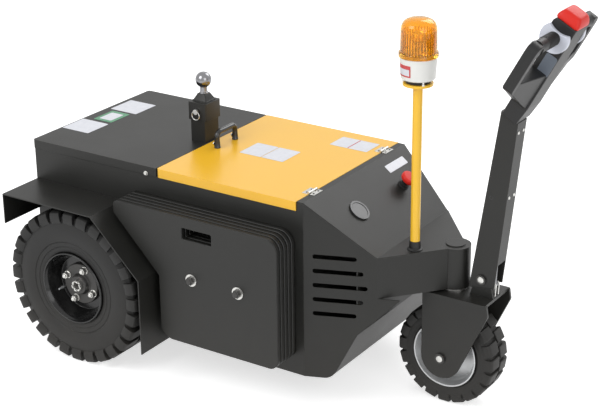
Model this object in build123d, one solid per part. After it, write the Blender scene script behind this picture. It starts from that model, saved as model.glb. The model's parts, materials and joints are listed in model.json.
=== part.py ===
from build123d import *
import math
import os

# Electric pedestrian baggage tug, in millimetres.
# While it is modelled, x is measured forward from the rear axle, y to the left and z up from the floor.
# At the end everything is moved along x so that the origin lies under the middle of the machine.

# Fits and sheets
seat_gap = 0.3
running_gap = 0.05
bolt_gap = 0.5
cover_sheet = 3.0
tub_wall = 4.0
tub_floor = 6.0
panel_sheet = 3.0

# Body tub, its deck and its lid
body_rear_x = -235.0
body_front_x = 711.0
nose_fold_x = 712.0
body_half_width = 269.5
body_bottom_z = 92.0
deck_top_z = 607.7
lid_rear_x = 222.7
lid_front_x = 690.0
cover_skirt = 26.0
cover_corner = 8.0
lid_split_gap = 2.0
bulkhead_sheet = 4.0
bulkhead_flange = 14.0
front_rest_width = 14.0

# Battery and drive unit
battery_length = 400.0
battery_width = 440.0
battery_height = 320.0
battery_rear_gap = 18.0
drive_length = 190.0
drive_width = 260.0
drive_height = 150.0

# Rear wheels
rear_tyre_radius = 235.0
rear_tyre_width = 124.0
rear_tyre_outer_y = 405.0
rear_shoulder = 12.0
rear_bead_radius = 100.0
rear_flange_radius = 119.0
rear_flange_lip = 5.0
rear_rim_wall = 4.0
rear_disc_outer_y = 355.0
rear_disc_sheet = 8.0
rear_dish_radius = 82.0
rear_dish_depth = 26.0
rear_nut_circle = 101.6
rear_nut_count = 4
rear_nut_flats = 22.0
rear_nut_height = 13.0
rear_boss_radius = 33.0
rear_boss_height = 20.0
rear_spindle_radius = 12.0
rear_spindle_outer_y = 402.0
rear_drum_radius = 78.0
rear_drum_depth = 34.0
axle_tube_radius = 32.0
axle_bore_radius = 17.5

# Mudguards
guard_sheet = 3.0
guard_outer_y = 418.0
guard_rear_x = -232.0
guard_lip_z = 393.0
guard_top_z = 485.0
guard_slope_start_x = 96.0
guard_front_x = 259.5
guard_slope_end_z = 325.5
guard_bottom_z = 98.0
guard_corner = 16.0

# Ballast plates on both flanks
ballast_count = 5
ballast_sheet = 17.6
ballast_gap = 0.4
ballast_front_x = 684.0
ballast_rear_x = 287.0
ballast_top_rear_x = 133.0
ballast_top_z = 523.0
ballast_bottom_z = 140.0
ballast_slope_low_z = 330.0
ballast_slope_high_z = 488.0
ballast_front_top_corner = 40.0
ballast_front_low_corner = 28.0
ballast_rear_low_corner = 40.0
ballast_bend_corner = 12.0
grip_rear_x = 370.0
grip_length = 102.0
grip_bottom_z = 458.0
grip_height = 35.0
grip_corner = 5.0
stud_rear_x = 400.0
stud_spacing = 157.0
stud_z = 342.0
stud_radius = 8.0
washer_radius = 18.0
washer_sheet = 3.0
stud_nut_flats = 19.0
stud_nut_height = 8.0
stud_tip = 5.0

# Nose behind the steering head
nose_bend_x = 900.0
nose_bend_half_width = 197.0
nose_shelf_x = 896.6
arm_top_z = 465.0
arm_bottom_z = 345.0
cheek_foot_x = 783.0
cheek_foot_corner = 35.0
cheek_knee_x = 848.0
cheek_knee_z = 230.0
cheek_tip_x = 958.0
louver_count = 5
louver_rear_x = 734.0
louver_first_z = 455.5
louver_pitch = 42.0
louver_height = 13.0
louver_front_x = (847.0, 864.0, 875.0, 864.0, 847.0)

# Steering head
head_x = 1029.0
head_tube_radius = 42.5
head_bore_radius = 25.0
head_cap_radius = 27.0
head_cap_sheet = 3.0
head_floor_gap = 1.0

# Fork and front wheel
fork_top_z = 338.0
fork_sheet = 8.0
fork_half_width = 73.0
fork_rear_x = 969.0
fork_front_x = 1163.0
fork_nose_x = 1168.0
fork_nose_z = 306.0
fork_foot_radius = 60.0
fork_nose_corner = 12.0
stem_collar_radius = 36.0
stem_top_gap = 8.0
front_tyre_radius = 148.0
front_tyre_width = 98.0
front_shoulder = 10.0
front_bead_radius = 88.0
front_flange_radius = 96.0
front_rim_wall = 4.0
front_disc_sheet = 8.0
front_hub_radius = 26.0
front_hub_gap = 1.0
front_axle_radius = 10.0
axle_head_radius = 15.0
axle_head_sheet = 6.0

# Tiller arm on the fork
pivot_x = 1123.0
pivot_z = 390.0
pivot_radius = 8.0
pivot_head_radius = 14.0
pivot_head_sheet = 5.0
arm_half_width = 26.0
arm_sheet = 3.0
arm_foot_rear_x = 1086.0
arm_foot_rear_z = 361.0
arm_foot_front_x = 1161.0
arm_foot_front_z = 372.0
arm_fold_x = 1167.5
arm_fold_z = 430.0
arm_top_rear_x = 1168.7
arm_top_rear_z = 917.0
arm_top_front_x = 1213.0
arm_top_front_z = 864.0
bracket_gap = 0.6
bracket_ear = 8.0
bracket_boss_radius = 22.0
bracket_foot_length = 70.0
bracket_foot_sheet = 4.0

# Gas spring between the arm and the fork
spring_top_x = 1165.0
spring_top_z = 667.0
spring_eye_x = 1150.0
spring_eye_z = 372.0
spring_tube_radius = 9.5
spring_tube_length = 150.0
spring_rod_radius = 5.0
spring_rod_length = 225.0
spring_eye_radius = 8.0
spring_eye_width = 12.0
spring_clevis_sheet = 5.0
spring_clevis_radius = 10.0
spring_pin_radius = 5.0
spring_slot_top_z = 440.0

# Tiller head, in its own frame: n towards the front face, w up along the head
control_x = 1187.6
control_z = 863.0
control_lean_deg = 29.0
control_rear_n = -23.0
control_neck_front_n = 26.0
control_chin_n = 44.0
control_chin_w = 45.0
control_front_w = 250.0
control_half_width = 38.0
control_edge = 6.0
hub_n = -7.0
hub_w = 265.0
hub_radius = 46.0
hub_half_width = 42.0
loop_outer_y = 185.0
loop_front_n = 11.0
loop_foot_w = 58.0
loop_elbow_w = 140.0
loop_rail = 24.0
loop_foot_rail = 34.0
loop_top_w = 281.0
loop_corner = 22.0
loop_hole_corner = 10.0
loop_edge = 5.0
grip_radius = 16.0
grip_root_y = 54.0
paddle_radius = 44.0
paddle_bore_radius = 25.0
paddle_sheet = 10.0
belly_bottom_w = 296.0
belly_top_w = 341.0
belly_rear_n = -42.0
belly_front_n = 30.0
belly_half_width = 34.0
belly_corner = 14.0

# Towing hitch on the deck
hitch_x = 192.0
post_length = 50.0
post_width = 66.0
post_wall = 6.0
sleeve_length = 60.0
sleeve_width = 76.0
sleeve_bottom_z = 674.0
sleeve_top_z = 728.0
sleeve_crown = 12.0
post_top_z = 714.0
crown_base = 48.0
crown_top = 36.0
crown_height = 16.0
ball_z = 790.0
ball_radius = 23.5
ball_neck_radius = 11.0
ball_collar_radius = 17.0
ball_collar_height = 5.0
pin_z = 702.0
pin_radius = 6.0
pin_head_radius = 8.0
pin_head_length = 7.0
pin_ring_radius = 13.0
pin_ring_wire = 1.6
pin_tail = 12.0

# Lid handle and hinges
handle_x = 268.0
handle_half_span = 44.0
handle_height = 42.0
handle_radius = 6.0
handle_bend = 16.0
hinge_y = 190.0
hinge_width = 42.0
hinge_leaf = 2.0
hinge_leaf_length = 20.0
hinge_knuckle_radius = 3.5
hinge_barrel_gap = 0.4

# Beacon on its pole
pole_x = 953.0
pole_y = -90.6
pole_radius = 13.0
pole_wall = 2.0
pole_collar_radius = 15.5
pole_collar_height = 26.0
pole_top_z = 917.0
pole_plate_radius = 34.0
pole_plate_sheet = 4.0
lamp_neck_radius = 24.0
lamp_neck_height = 14.0
lamp_base_radius = 47.5
lamp_base_height = 57.0
lens_flange_radius = 51.0
lens_flange_height = 8.0
lens_radius = 46.0
lens_top_radius = 40.0
lens_wall = 3.0
lens_height = 118.0
lens_crown = 22.0
bulb_radius = 20.0
bulb_height = 70.0

# Controls on the sloping face
gauge_x = 790.0
gauge_y = -112.0
gauge_radius = 31.0
gauge_height = 5.0
gauge_face_radius = 25.0
stop_x = 793.0
stop_y = 122.0
stop_collar_radius = 17.0
stop_collar_height = 16.0
stop_head_radius = 22.0
stop_head_height = 18.0

tub_top_z = deck_top_z - cover_sheet - seat_gap
cover_half_width = body_half_width + seat_gap + cover_sheet
tub_rear_x = body_rear_x + cover_sheet + seat_gap
rear_wheel_y = rear_tyre_outer_y - rear_tyre_width / 2
nose_slope = math.atan2(deck_top_z - arm_top_z, nose_shelf_x - nose_fold_x)
cheek_slope = math.atan2(body_half_width - nose_bend_half_width, nose_bend_x - nose_fold_x)
arm_slope = math.atan2(nose_bend_half_width - head_tube_radius, head_x - nose_bend_x)
ballast_stack = ballast_count * (ballast_sheet + ballast_gap)
ballast_face_y = body_half_width + ballast_stack


# Shared ways of making solids
def block(x_low, x_high, y_low, y_high, z_low, z_high):
    middle = ((x_low + x_high) / 2, (y_low + y_high) / 2, (z_low + z_high) / 2)
    return Pos(*middle) * Box(x_high - x_low, y_high - y_low, z_high - z_low)


def rounded(corners):
    face = Polygon(*[(corner[0], corner[1]) for corner in corners], align=None)
    for corner in corners:
        if len(corner) == 3:
            vertex = face.vertices().sort_by_distance((corner[0], corner[1], 0))[0]
            face = fillet(vertex, corner[2])
    return face


def side_sheet(face, y_low, y_high):
    side = Plane(origin=(0, y_high, 0), x_dir=(1, 0, 0), z_dir=(0, -1, 0))
    return extrude(side * face, y_high - y_low, dir=(0, -1, 0))


def flat_sheet(face, z_low, z_high):
    return extrude(Pos(0, 0, z_low) * face, z_high - z_low, dir=(0, 0, 1))


def rod_y(x, z, radius, y_low, y_high):
    return Pos(x, (y_low + y_high) / 2, z) * Rot(90, 0, 0) * Cylinder(radius, y_high - y_low)


def rod_z(x, y, radius, z_low, z_high):
    return Pos(x, y, (z_low + z_high) / 2) * Cylinder(radius, z_high - z_low)


def hexagon_y(x, z, flats, y_low, y_high):
    return side_sheet(Pos(x, z) * RegularPolygon(flats / 2, 6, major_radius=False), y_low, y_high)


def turned(points, axis):
    return revolve(make_face(Polyline(*points, close=True)), axis)


def folded(points, sheet):
    # A strip of sheet metal seen along y: its outer line is given, its inner line lies one sheet inside
    outer = Polyline(*points)
    inner = offset(outer, sheet, kind=Kind.INTERSECTION, side=Side.RIGHT, closed=True)
    return make_face(inner)


def both(part):
    return [part, mirror(part, about=Plane.XZ)]


# Body tub
def tub():
    shell = block(tub_rear_x, body_front_x, -body_half_width, body_half_width, body_bottom_z, tub_top_z)
    shell -= block(tub_rear_x + tub_wall, body_front_x - tub_wall, -body_half_width + tub_wall,
                   body_half_width - tub_wall, body_bottom_z + tub_floor, tub_top_z)
    inner = body_half_width - tub_wall
    wall_x = lid_rear_x - bulkhead_sheet / 2
    shell += block(wall_x, wall_x + bulkhead_sheet, -inner, inner, body_bottom_z + tub_floor, tub_top_z)
    shell += block(lid_front_x - front_rest_width, body_front_x - tub_wall, -inner, inner,
                   tub_top_z - tub_wall, tub_top_z)
    shell -= rod_y(0, rear_tyre_radius, axle_tube_radius + seat_gap, -body_half_width, body_half_width)
    for x in stud_places():
        shell -= rod_y(x, stud_z, stud_radius + seat_gap, -body_half_width, body_half_width)
    return shell


def cover(x_low, x_high, closed_end):
    top = block(x_low, x_high, -cover_half_width, cover_half_width, deck_top_z - cover_skirt, deck_top_z)
    upright = top.edges().filter_by(Axis.Z).group_by(Axis.X)[0]
    top = fillet(upright, cover_corner)
    hollow_low = x_low + cover_sheet if closed_end else x_low
    return top - block(hollow_low, x_high, -cover_half_width + cover_sheet, cover_half_width - cover_sheet,
                       deck_top_z - cover_skirt, deck_top_z - cover_sheet)


def rear_deck():
    deck = cover(body_rear_x, lid_rear_x - lid_split_gap / 2, True)
    opening = Rectangle(post_length + 2 * seat_gap, post_width + 2 * seat_gap)
    return deck - flat_sheet(Pos(hitch_x, 0) * opening, deck_top_z - cover_sheet, deck_top_z)


def lid():
    return cover(lid_rear_x + lid_split_gap / 2, lid_front_x, False)


def battery_pack():
    rear = lid_rear_x + bulkhead_sheet / 2 + battery_rear_gap
    low = body_bottom_z + tub_floor
    return block(rear, rear + battery_length, -battery_width / 2, battery_width / 2, low, low + battery_height)


def rear_axle():
    z = rear_tyre_radius
    unit = block(-drive_length / 2, drive_length / 2, -drive_width / 2, drive_width / 2,
                 z - drive_height / 2, z + drive_height / 2)
    end = rear_disc_outer_y - rear_disc_sheet - rear_drum_depth - seat_gap
    unit += rod_y(0, z, axle_tube_radius, -end, end)
    return unit - rod_y(0, z, axle_bore_radius, drive_width / 2, end) \
        - rod_y(0, z, axle_bore_radius, -end, -drive_width / 2)


# Rear wheels, made for the left side and mirrored
def rear_tyre():
    half = rear_tyre_width / 2
    flank = 0.62 * half
    profile = rounded([(rear_bead_radius, -flank - rear_shoulder), (rear_flange_radius, -half, 10),
                       (rear_tyre_radius, -half, rear_shoulder), (rear_tyre_radius, half, rear_shoulder),
                       (rear_flange_radius, half, 10), (rear_bead_radius, flank + rear_shoulder)])
    return Pos(0, rear_wheel_y, rear_tyre_radius) * revolve(profile, Axis.Y)


def rear_rim():
    half = rear_tyre_width / 2
    barrel = rear_bead_radius - rear_rim_wall
    disc = rear_disc_outer_y - rear_wheel_y
    back = disc - rear_disc_sheet
    seat = 0.62 * half + rear_shoulder
    outline = [(rear_spindle_radius, back), (rear_dish_radius, back), (barrel, disc),
               (barrel, -seat), (rear_flange_radius - 4, -half - 1), (rear_flange_radius, -half - 1),
               (rear_bead_radius, -seat), (rear_bead_radius, seat), (rear_flange_radius, half + 1),
               (rear_flange_radius - 4, half + 1), (barrel, seat), (barrel, disc + rear_dish_depth),
               (rear_dish_radius, disc), (rear_spindle_radius, disc)]
    return Pos(0, rear_wheel_y, rear_tyre_radius) * turned(outline, Axis.Y)


def rear_hub():
    back = rear_disc_outer_y - rear_disc_sheet
    z = rear_tyre_radius
    hub = rod_y(0, z, rear_drum_radius, back - rear_drum_depth, back)
    hub += rod_y(0, z, axle_bore_radius - running_gap, drive_width / 2 + 10, back)
    hub += rod_y(0, z, rear_spindle_radius, back, rear_spindle_outer_y)
    hub += rod_y(0, z, rear_boss_radius, rear_disc_outer_y, rear_disc_outer_y + rear_boss_height)
    for spot in PolarLocations(rear_nut_circle / 2, rear_nut_count, start_angle=15):
        nut = hexagon_y(spot.position.X, z + spot.position.Y, rear_nut_flats, rear_disc_outer_y,
                        rear_disc_outer_y + rear_nut_height)
        hub += nut
    return hub


# Mudguard, made for the right side and mirrored
def mudguard():
    line = [(guard_rear_x, guard_lip_z), (guard_rear_x, guard_top_z), (guard_slope_start_x, guard_top_z),
            (guard_front_x, guard_slope_end_z), (guard_front_x, guard_bottom_z)]
    return side_sheet(folded(line, guard_sheet), -guard_outer_y, -body_half_width)


# Ballast plates and their studs, made for the right side and mirrored
def stud_places():
    return [stud_rear_x, stud_rear_x + stud_spacing]


def ballast_outline():
    return rounded([(ballast_rear_x, ballast_bottom_z, ballast_rear_low_corner),
                    (ballast_front_x, ballast_bottom_z, ballast_front_low_corner),
                    (ballast_front_x, ballast_top_z, ballast_front_top_corner),
                    (ballast_top_rear_x, ballast_top_z, ballast_bend_corner),
                    (ballast_top_rear_x, ballast_slope_high_z, ballast_bend_corner),
                    (ballast_rear_x, ballast_slope_low_z, ballast_bend_corner)])


def grip_slot():
    middle = (grip_rear_x + grip_length / 2, grip_bottom_z + grip_height / 2)
    return Pos(*middle) * RectangleRounded(grip_length, grip_height, grip_corner)


def ballast_plates():
    face = ballast_outline() - grip_slot()
    for x in stud_places():
        face -= Pos(x, stud_z) * Circle(stud_radius + seat_gap)
    plates = []
    for index in range(ballast_count):
        near = body_half_width + ballast_gap + index * (ballast_sheet + ballast_gap)
        plates.append(side_sheet(face, -near - ballast_sheet, -near))
    return plates


def ballast_bolts():
    bolts = []
    face = ballast_face_y
    for x in stud_places():
        bolt = rod_y(x, stud_z, stud_radius, -face - washer_sheet - stud_nut_height - stud_tip,
                     -body_half_width + tub_wall + stud_tip)
        bolt += rod_y(x, stud_z, washer_radius, -face - washer_sheet, -face - ballast_gap / 2)
        bolt += hexagon_y(x, stud_z, stud_nut_flats, -face - washer_sheet - stud_nut_height, -face - washer_sheet)
        bolts.append(bolt)
    return bolts


# Nose: half width of the cowl at x, with its wall set in by a distance
def cheek_line(x, inset):
    return body_half_width - inset / math.cos(cheek_slope) - (x - nose_fold_x) * math.tan(cheek_slope)


def arm_line(x, inset):
    return nose_bend_half_width - inset / math.cos(arm_slope) - (x - nose_bend_x) * math.tan(arm_slope)


def bend_point(inset):
    gap = inset / math.cos(arm_slope) - inset / math.cos(cheek_slope)
    return nose_bend_x - gap / (math.tan(arm_slope) - math.tan(cheek_slope))


def nose_plan(inset, x_low, x_high):
    bend = bend_point(inset)
    right = [(x_low, -cheek_line(x_low, inset))]
    if x_high > bend:
        right.append((bend, -cheek_line(bend, inset)))
        right.append((x_high, -arm_line(x_high, inset)))
    else:
        right.append((x_high, -cheek_line(x_high, inset)))
    left = [(x, -y) for x, y in reversed(right)]
    return Polygon(*right, *left, align=None)


def nose_top():
    line = [(lid_front_x + lid_split_gap, deck_top_z), (nose_fold_x, deck_top_z), (nose_shelf_x, arm_top_z),
            (head_x, arm_top_z)]
    sheet = side_sheet(folded(line, panel_sheet), -body_half_width, body_half_width)
    plan = nose_plan(0, nose_fold_x, head_x)
    plan += Pos((lid_front_x + nose_fold_x) / 2, 0) * Rectangle(nose_fold_x - lid_front_x, 2 * body_half_width)
    sheet &= flat_sheet(plan, arm_top_z - panel_sheet, deck_top_z)
    sheet -= rod_z(head_x, 0, head_tube_radius, arm_top_z - panel_sheet, arm_top_z)
    return sheet - rod_z(pole_x, pole_y, pole_radius, arm_top_z - panel_sheet, arm_top_z)


def slope_z(x):
    return deck_top_z - (x - nose_fold_x) * math.tan(nose_slope)


def nose_cheek():
    plane = Plane(origin=(nose_fold_x, -body_half_width, 0),
                  x_dir=(math.cos(cheek_slope), math.sin(cheek_slope), 0),
                  z_dir=(math.sin(cheek_slope), -math.cos(cheek_slope), 0))
    scale_x = 1 / math.cos(cheek_slope)

    def along(x):
        return (x - nose_fold_x) * scale_x

    inner_bend = bend_point(panel_sheet)
    rear_x = body_front_x + seat_gap
    under = panel_sheet / math.cos(nose_slope)
    shelf_x = nose_shelf_x - (under - panel_sheet) / math.tan(nose_slope)
    outline = rounded([(along(rear_x), body_bottom_z), (along(cheek_foot_x), body_bottom_z, cheek_foot_corner),
                       (along(cheek_knee_x), cheek_knee_z), (along(cheek_tip_x), arm_bottom_z),
                       (along(nose_bend_x), arm_bottom_z), (along(nose_bend_x), arm_top_z - panel_sheet),
                       (along(shelf_x), arm_top_z - panel_sheet), (along(rear_x), slope_z(rear_x) - under)])
    for index in range(louver_count):
        low = along(louver_rear_x)
        high = along(louver_front_x[index])
        spot = Pos((low + high) / 2, louver_first_z - index * louver_pitch)
        outline -= spot * SlotOverall(high - low, louver_height)
    cheek = extrude(plane * outline, panel_sheet, dir=-plane.z_dir)
    cheek -= block(nose_fold_x - 2 * panel_sheet, rear_x, -body_half_width, 0, body_bottom_z, deck_top_z)
    flank = Polygon((nose_bend_x, -nose_bend_half_width), (head_x, -arm_line(head_x, 0)),
                    (head_x, -arm_line(head_x, panel_sheet)), (inner_bend, -cheek_line(inner_bend, panel_sheet)),
                    align=None)
    cheek += flat_sheet(flank, arm_bottom_z, arm_top_z - panel_sheet)
    return cheek - rod_z(head_x, 0, head_tube_radius, arm_bottom_z, arm_top_z)


def nose_bulkhead():
    rear_x = body_front_x + seat_gap
    top = slope_z(cheek_knee_x) - panel_sheet / math.cos(nose_slope)
    skin = rounded([(rear_x - 20, body_bottom_z), (cheek_foot_x, body_bottom_z, cheek_foot_corner),
                    (cheek_knee_x, cheek_knee_z), (cheek_knee_x, top + 20), (rear_x - 20, top + 20)])
    skin -= offset(skin, -panel_sheet)
    sheet = side_sheet(skin, -body_half_width, body_half_width)
    return sheet & flat_sheet(nose_plan(panel_sheet, rear_x, cheek_knee_x), body_bottom_z, top)


def arm_floor():
    floor = flat_sheet(nose_plan(panel_sheet, cheek_knee_x, head_x), arm_bottom_z, arm_bottom_z + panel_sheet)
    return floor - rod_z(head_x, 0, head_tube_radius, arm_bottom_z, arm_bottom_z + panel_sheet)


def head_tube():
    low = arm_bottom_z + head_floor_gap
    tube = rod_z(head_x, 0, head_tube_radius, low, arm_top_z)
    tube -= rod_z(head_x, 0, head_bore_radius, low, arm_top_z - head_cap_sheet)
    return tube + rod_z(head_x, 0, head_cap_radius, arm_top_z, arm_top_z + head_cap_sheet)


# Steered fork
def tangent_foot(point, centre, radius):
    away_x = point[0] - centre[0]
    away_z = point[1] - centre[1]
    reach = math.hypot(away_x, away_z)
    turn = math.atan2(away_z, away_x) - math.acos(radius / reach)
    return centre[0] + radius * math.cos(turn), centre[1] + radius * math.sin(turn)


def fork_frame():
    axle = (head_x, front_tyre_radius)
    foot = tangent_foot((fork_nose_x, fork_nose_z), axle, fork_foot_radius)
    cheek = rounded([(fork_rear_x, axle[1]), (fork_rear_x, fork_top_z), (fork_front_x, fork_top_z, 6),
                     (fork_nose_x, fork_nose_z, fork_nose_corner), foot, axle])
    cheek += Pos(*axle) * Circle(fork_foot_radius)
    cheek -= Pos(*axle) * Circle(front_axle_radius + running_gap)
    frame = block(fork_rear_x, fork_front_x - 4, -fork_half_width, fork_half_width, fork_top_z - fork_sheet,
                  fork_top_z)
    for side in (-1, 1):
        low = min(side * fork_half_width, side * (fork_half_width - fork_sheet))
        frame += side_sheet(cheek, low, low + fork_sheet)
    return frame


def fork_stem():
    top = arm_top_z - head_cap_sheet - stem_top_gap
    stem = rod_z(head_x, 0, head_bore_radius - running_gap, fork_top_z, top)
    return stem + rod_z(head_x, 0, stem_collar_radius, fork_top_z, arm_bottom_z + head_floor_gap - seat_gap)


def front_axle():
    z = front_tyre_radius
    axle = rod_y(head_x, z, front_axle_radius, -fork_half_width, fork_half_width)
    axle += rod_y(head_x, z, axle_head_radius, -fork_half_width - axle_head_sheet, -fork_half_width)
    return axle + rod_y(head_x, z, axle_head_radius, fork_half_width, fork_half_width + axle_head_sheet)


def front_tyre():
    half = front_tyre_width / 2
    profile = rounded([(front_bead_radius, -half + 14), (front_flange_radius, -half, 6),
                       (front_tyre_radius, -half, front_shoulder), (front_tyre_radius, half, front_shoulder),
                       (front_flange_radius, half, 6), (front_bead_radius, half - 14)])
    return Pos(head_x, 0, front_tyre_radius) * revolve(profile, Axis.Y)


def front_rim():
    half = front_tyre_width / 2
    barrel = front_bead_radius - front_rim_wall
    disc = front_disc_sheet / 2
    hub = fork_half_width - fork_sheet - front_hub_gap
    bore = front_axle_radius + running_gap
    outline = [(bore, -hub), (front_hub_radius, -hub), (front_hub_radius, -disc), (barrel, -disc),
               (barrel, -half + 14), (front_flange_radius - 4, -half - 1), (front_flange_radius, -half - 1),
               (front_bead_radius, -half + 14), (front_bead_radius, half - 14), (front_flange_radius, half + 1),
               (front_flange_radius - 4, half + 1), (barrel, half - 14), (barrel, disc), (front_hub_radius, disc),
               (front_hub_radius, hub), (bore, hub)]
    return Pos(head_x, 0, front_tyre_radius) * turned(outline, Axis.Y)


# Tiller bracket, arm and gas spring
def tiller_bracket():
    outer = arm_half_width - arm_sheet - bracket_gap
    low_x = pivot_x - bracket_foot_length / 2
    bracket = block(low_x, low_x + bracket_foot_length, -outer, outer, fork_top_z, fork_top_z + bracket_foot_sheet)
    ear = rounded([(low_x, fork_top_z), (low_x + bracket_foot_length, fork_top_z),
                   (pivot_x + bracket_boss_radius, pivot_z), (pivot_x - bracket_boss_radius, pivot_z)])
    ear += Pos(pivot_x, pivot_z) * Circle(bracket_boss_radius)
    ear -= Pos(pivot_x, pivot_z) * Circle(pivot_radius + running_gap)
    for side in (-1, 1):
        low = min(side * outer, side * (outer - bracket_ear))
        bracket += side_sheet(ear, low, low + bracket_ear)
    return bracket


def spring_clevis():
    inner = spring_eye_width / 2 + 2 * seat_gap
    ears = []
    foot_z = fork_top_z + bracket_foot_sheet
    ear = rounded([(spring_eye_x - spring_clevis_radius, foot_z),
                   (pivot_x + bracket_foot_length / 2, foot_z),
                   (spring_eye_x + spring_clevis_radius, spring_eye_z),
                   (spring_eye_x - spring_clevis_radius, spring_eye_z)])
    ear += Pos(spring_eye_x, spring_eye_z) * Circle(spring_clevis_radius)
    for side in (-1, 1):
        low = min(side * inner, side * (inner + spring_clevis_sheet))
        plate = side_sheet(ear, low, low + spring_clevis_sheet)
        ears.append(plate)
    return ears


def tiller_pivot():
    side = arm_half_width + seat_gap
    bolt = rod_y(pivot_x, pivot_z, pivot_radius, -side, side)
    bolt += rod_y(pivot_x, pivot_z, pivot_head_radius, -side - pivot_head_sheet, -side)
    return bolt + rod_y(pivot_x, pivot_z, pivot_head_radius, side, side + pivot_head_sheet)


def arm_outline(inset):
    # The arm seen from the side, with its front and rear walls set in
    rear_lean = (arm_top_rear_x - arm_foot_rear_x) / (arm_top_rear_z - arm_foot_rear_z)
    front_lean = (arm_top_front_x - arm_fold_x) / (arm_top_front_z - arm_fold_z)
    foot_lean = (arm_fold_x - arm_foot_front_x) / (arm_fold_z - arm_foot_front_z)
    cut = 20 if inset else 0
    return Polygon((arm_foot_rear_x + inset - cut * rear_lean, arm_foot_rear_z - cut),
                   (arm_foot_front_x - inset - cut * foot_lean, arm_foot_front_z - cut),
                   (arm_fold_x - inset, arm_fold_z),
                   (arm_top_front_x - inset + cut * front_lean, arm_top_front_z + cut),
                   (arm_top_rear_x + inset + cut * rear_lean, arm_top_rear_z + cut), align=None)


def control_frame():
    lean = math.radians(control_lean_deg)
    return Plane(origin=(control_x, 0, control_z), x_dir=(math.cos(lean), 0, -math.sin(lean)),
                 z_dir=(math.sin(lean), 0, math.cos(lean)))


def tiller_arm():
    arm = side_sheet(arm_outline(0), -arm_half_width, arm_half_width)
    arm -= side_sheet(arm_outline(arm_sheet), -arm_half_width + arm_sheet, arm_half_width - arm_sheet)
    over = 400
    arm -= control_frame().location * Pos(0, 0, over / 2) * Box(over, over, over)
    arm -= rod_y(pivot_x, pivot_z, pivot_radius + running_gap, -arm_half_width, arm_half_width)
    open_half = arm_half_width - arm_sheet
    return arm - block(pivot_x + bracket_boss_radius, arm_fold_x + 20, -open_half, open_half,
                       arm_foot_front_z - 20, spring_slot_top_z)


def spring_frame():
    run_x = spring_top_x - spring_eye_x
    run_z = spring_top_z - spring_eye_z
    length = math.hypot(run_x, run_z)
    return Plane(origin=(spring_eye_x, 0, spring_eye_z), x_dir=(run_z / length, 0, -run_x / length),
                 z_dir=(run_x / length, 0, run_z / length)), length


def gas_spring_rod():
    frame, length = spring_frame()
    rod = Pos(0, 0, spring_rod_length / 2) * Cylinder(spring_rod_radius, spring_rod_length)
    rod += Rot(90, 0, 0) * Cylinder(spring_eye_radius, spring_eye_width)
    return frame.location * rod


def gas_spring_cylinder():
    frame, length = spring_frame()
    low = length - spring_tube_length
    tube = Pos(0, 0, (low + length) / 2) * Cylinder(spring_tube_radius, spring_tube_length)
    bore_top = length - 2 * spring_tube_radius
    tube -= Pos(0, 0, (low + bore_top) / 2) * Cylinder(spring_rod_radius + running_gap, bore_top - low)
    tube += Pos(0, 0, length) * Rot(90, 0, 0) * Cylinder(spring_tube_radius, spring_eye_width)
    pin_half = arm_half_width - arm_sheet - seat_gap
    tube += Pos(0, 0, length) * Rot(90, 0, 0) * Cylinder(spring_pin_radius, 2 * pin_half)
    return frame.location * tube


# Tiller head
def loop_ring():
    # One hand loop, drawn in y and w
    ring = rounded([(control_half_width - 4, loop_foot_w - 18), (loop_outer_y, loop_elbow_w, loop_corner),
                    (loop_outer_y, loop_top_w, loop_corner), (control_half_width - 4, loop_top_w)])
    hole = rounded([(control_half_width + 2, loop_foot_w + loop_foot_rail - 10, loop_hole_corner),
                    (loop_outer_y - loop_rail, loop_elbow_w + 24, loop_hole_corner),
                    (loop_outer_y - loop_rail, loop_top_w - 2 * grip_radius, loop_hole_corner),
                    (control_half_width + 2, loop_top_w - 2 * grip_radius, loop_hole_corner)])
    return ring - hole


def tiller_head():
    body = rounded([(control_rear_n, 0), (control_neck_front_n, 0), (control_chin_n, control_chin_w, 8),
                    (control_chin_n - 4, control_front_w, 8), (control_rear_n, control_front_w)])
    head = side_sheet(body, -control_half_width, control_half_width)
    head += Pos(hub_n, 0, hub_w) * Rot(90, 0, 0) * Cylinder(hub_radius, 2 * hub_half_width)
    front = Plane(origin=(control_rear_n, 0, 0), x_dir=(0, 1, 0), z_dir=(1, 0, 0))
    depth = loop_front_n - control_rear_n
    for ring in both(extrude(front * loop_ring(), depth, dir=(1, 0, 0))):
        head += ring
    return control_frame().location * head


def throttle_paddles():
    paddles = []
    for side in (-1, 1):
        y = side * (hub_half_width + seat_gap + paddle_sheet / 2)
        paddle = Pos(hub_n, y, hub_w) * Rot(90, 0, 0) * Cylinder(paddle_radius, paddle_sheet)
        paddle -= Pos(hub_n, y, hub_w) * Rot(90, 0, 0) * Cylinder(paddle_bore_radius, paddle_sheet)
        paddles.append(control_frame().location * paddle)
    return paddles


def belly_button():
    low = hub_w + hub_radius + seat_gap
    face = rounded([(belly_rear_n, low, 4), (belly_front_n, low, 4), (belly_front_n, belly_top_w, belly_corner),
                    (belly_rear_n, belly_top_w, belly_corner)])
    return control_frame().location * side_sheet(face, -belly_half_width, belly_half_width)


# Hitch
def hitch_post():
    low = body_bottom_z + tub_floor
    post = block(hitch_x - post_length / 2, hitch_x + post_length / 2, -post_width / 2, post_width / 2, low,
                 post_top_z)
    inner_x = post_length / 2 - post_wall
    inner_y = post_width / 2 - post_wall
    post -= block(hitch_x - inner_x, hitch_x + inner_x, -inner_y, inner_y, low, post_top_z)
    return post - rod_y(hitch_x, pin_z, pin_radius + seat_gap, -post_width, post_width)


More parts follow.
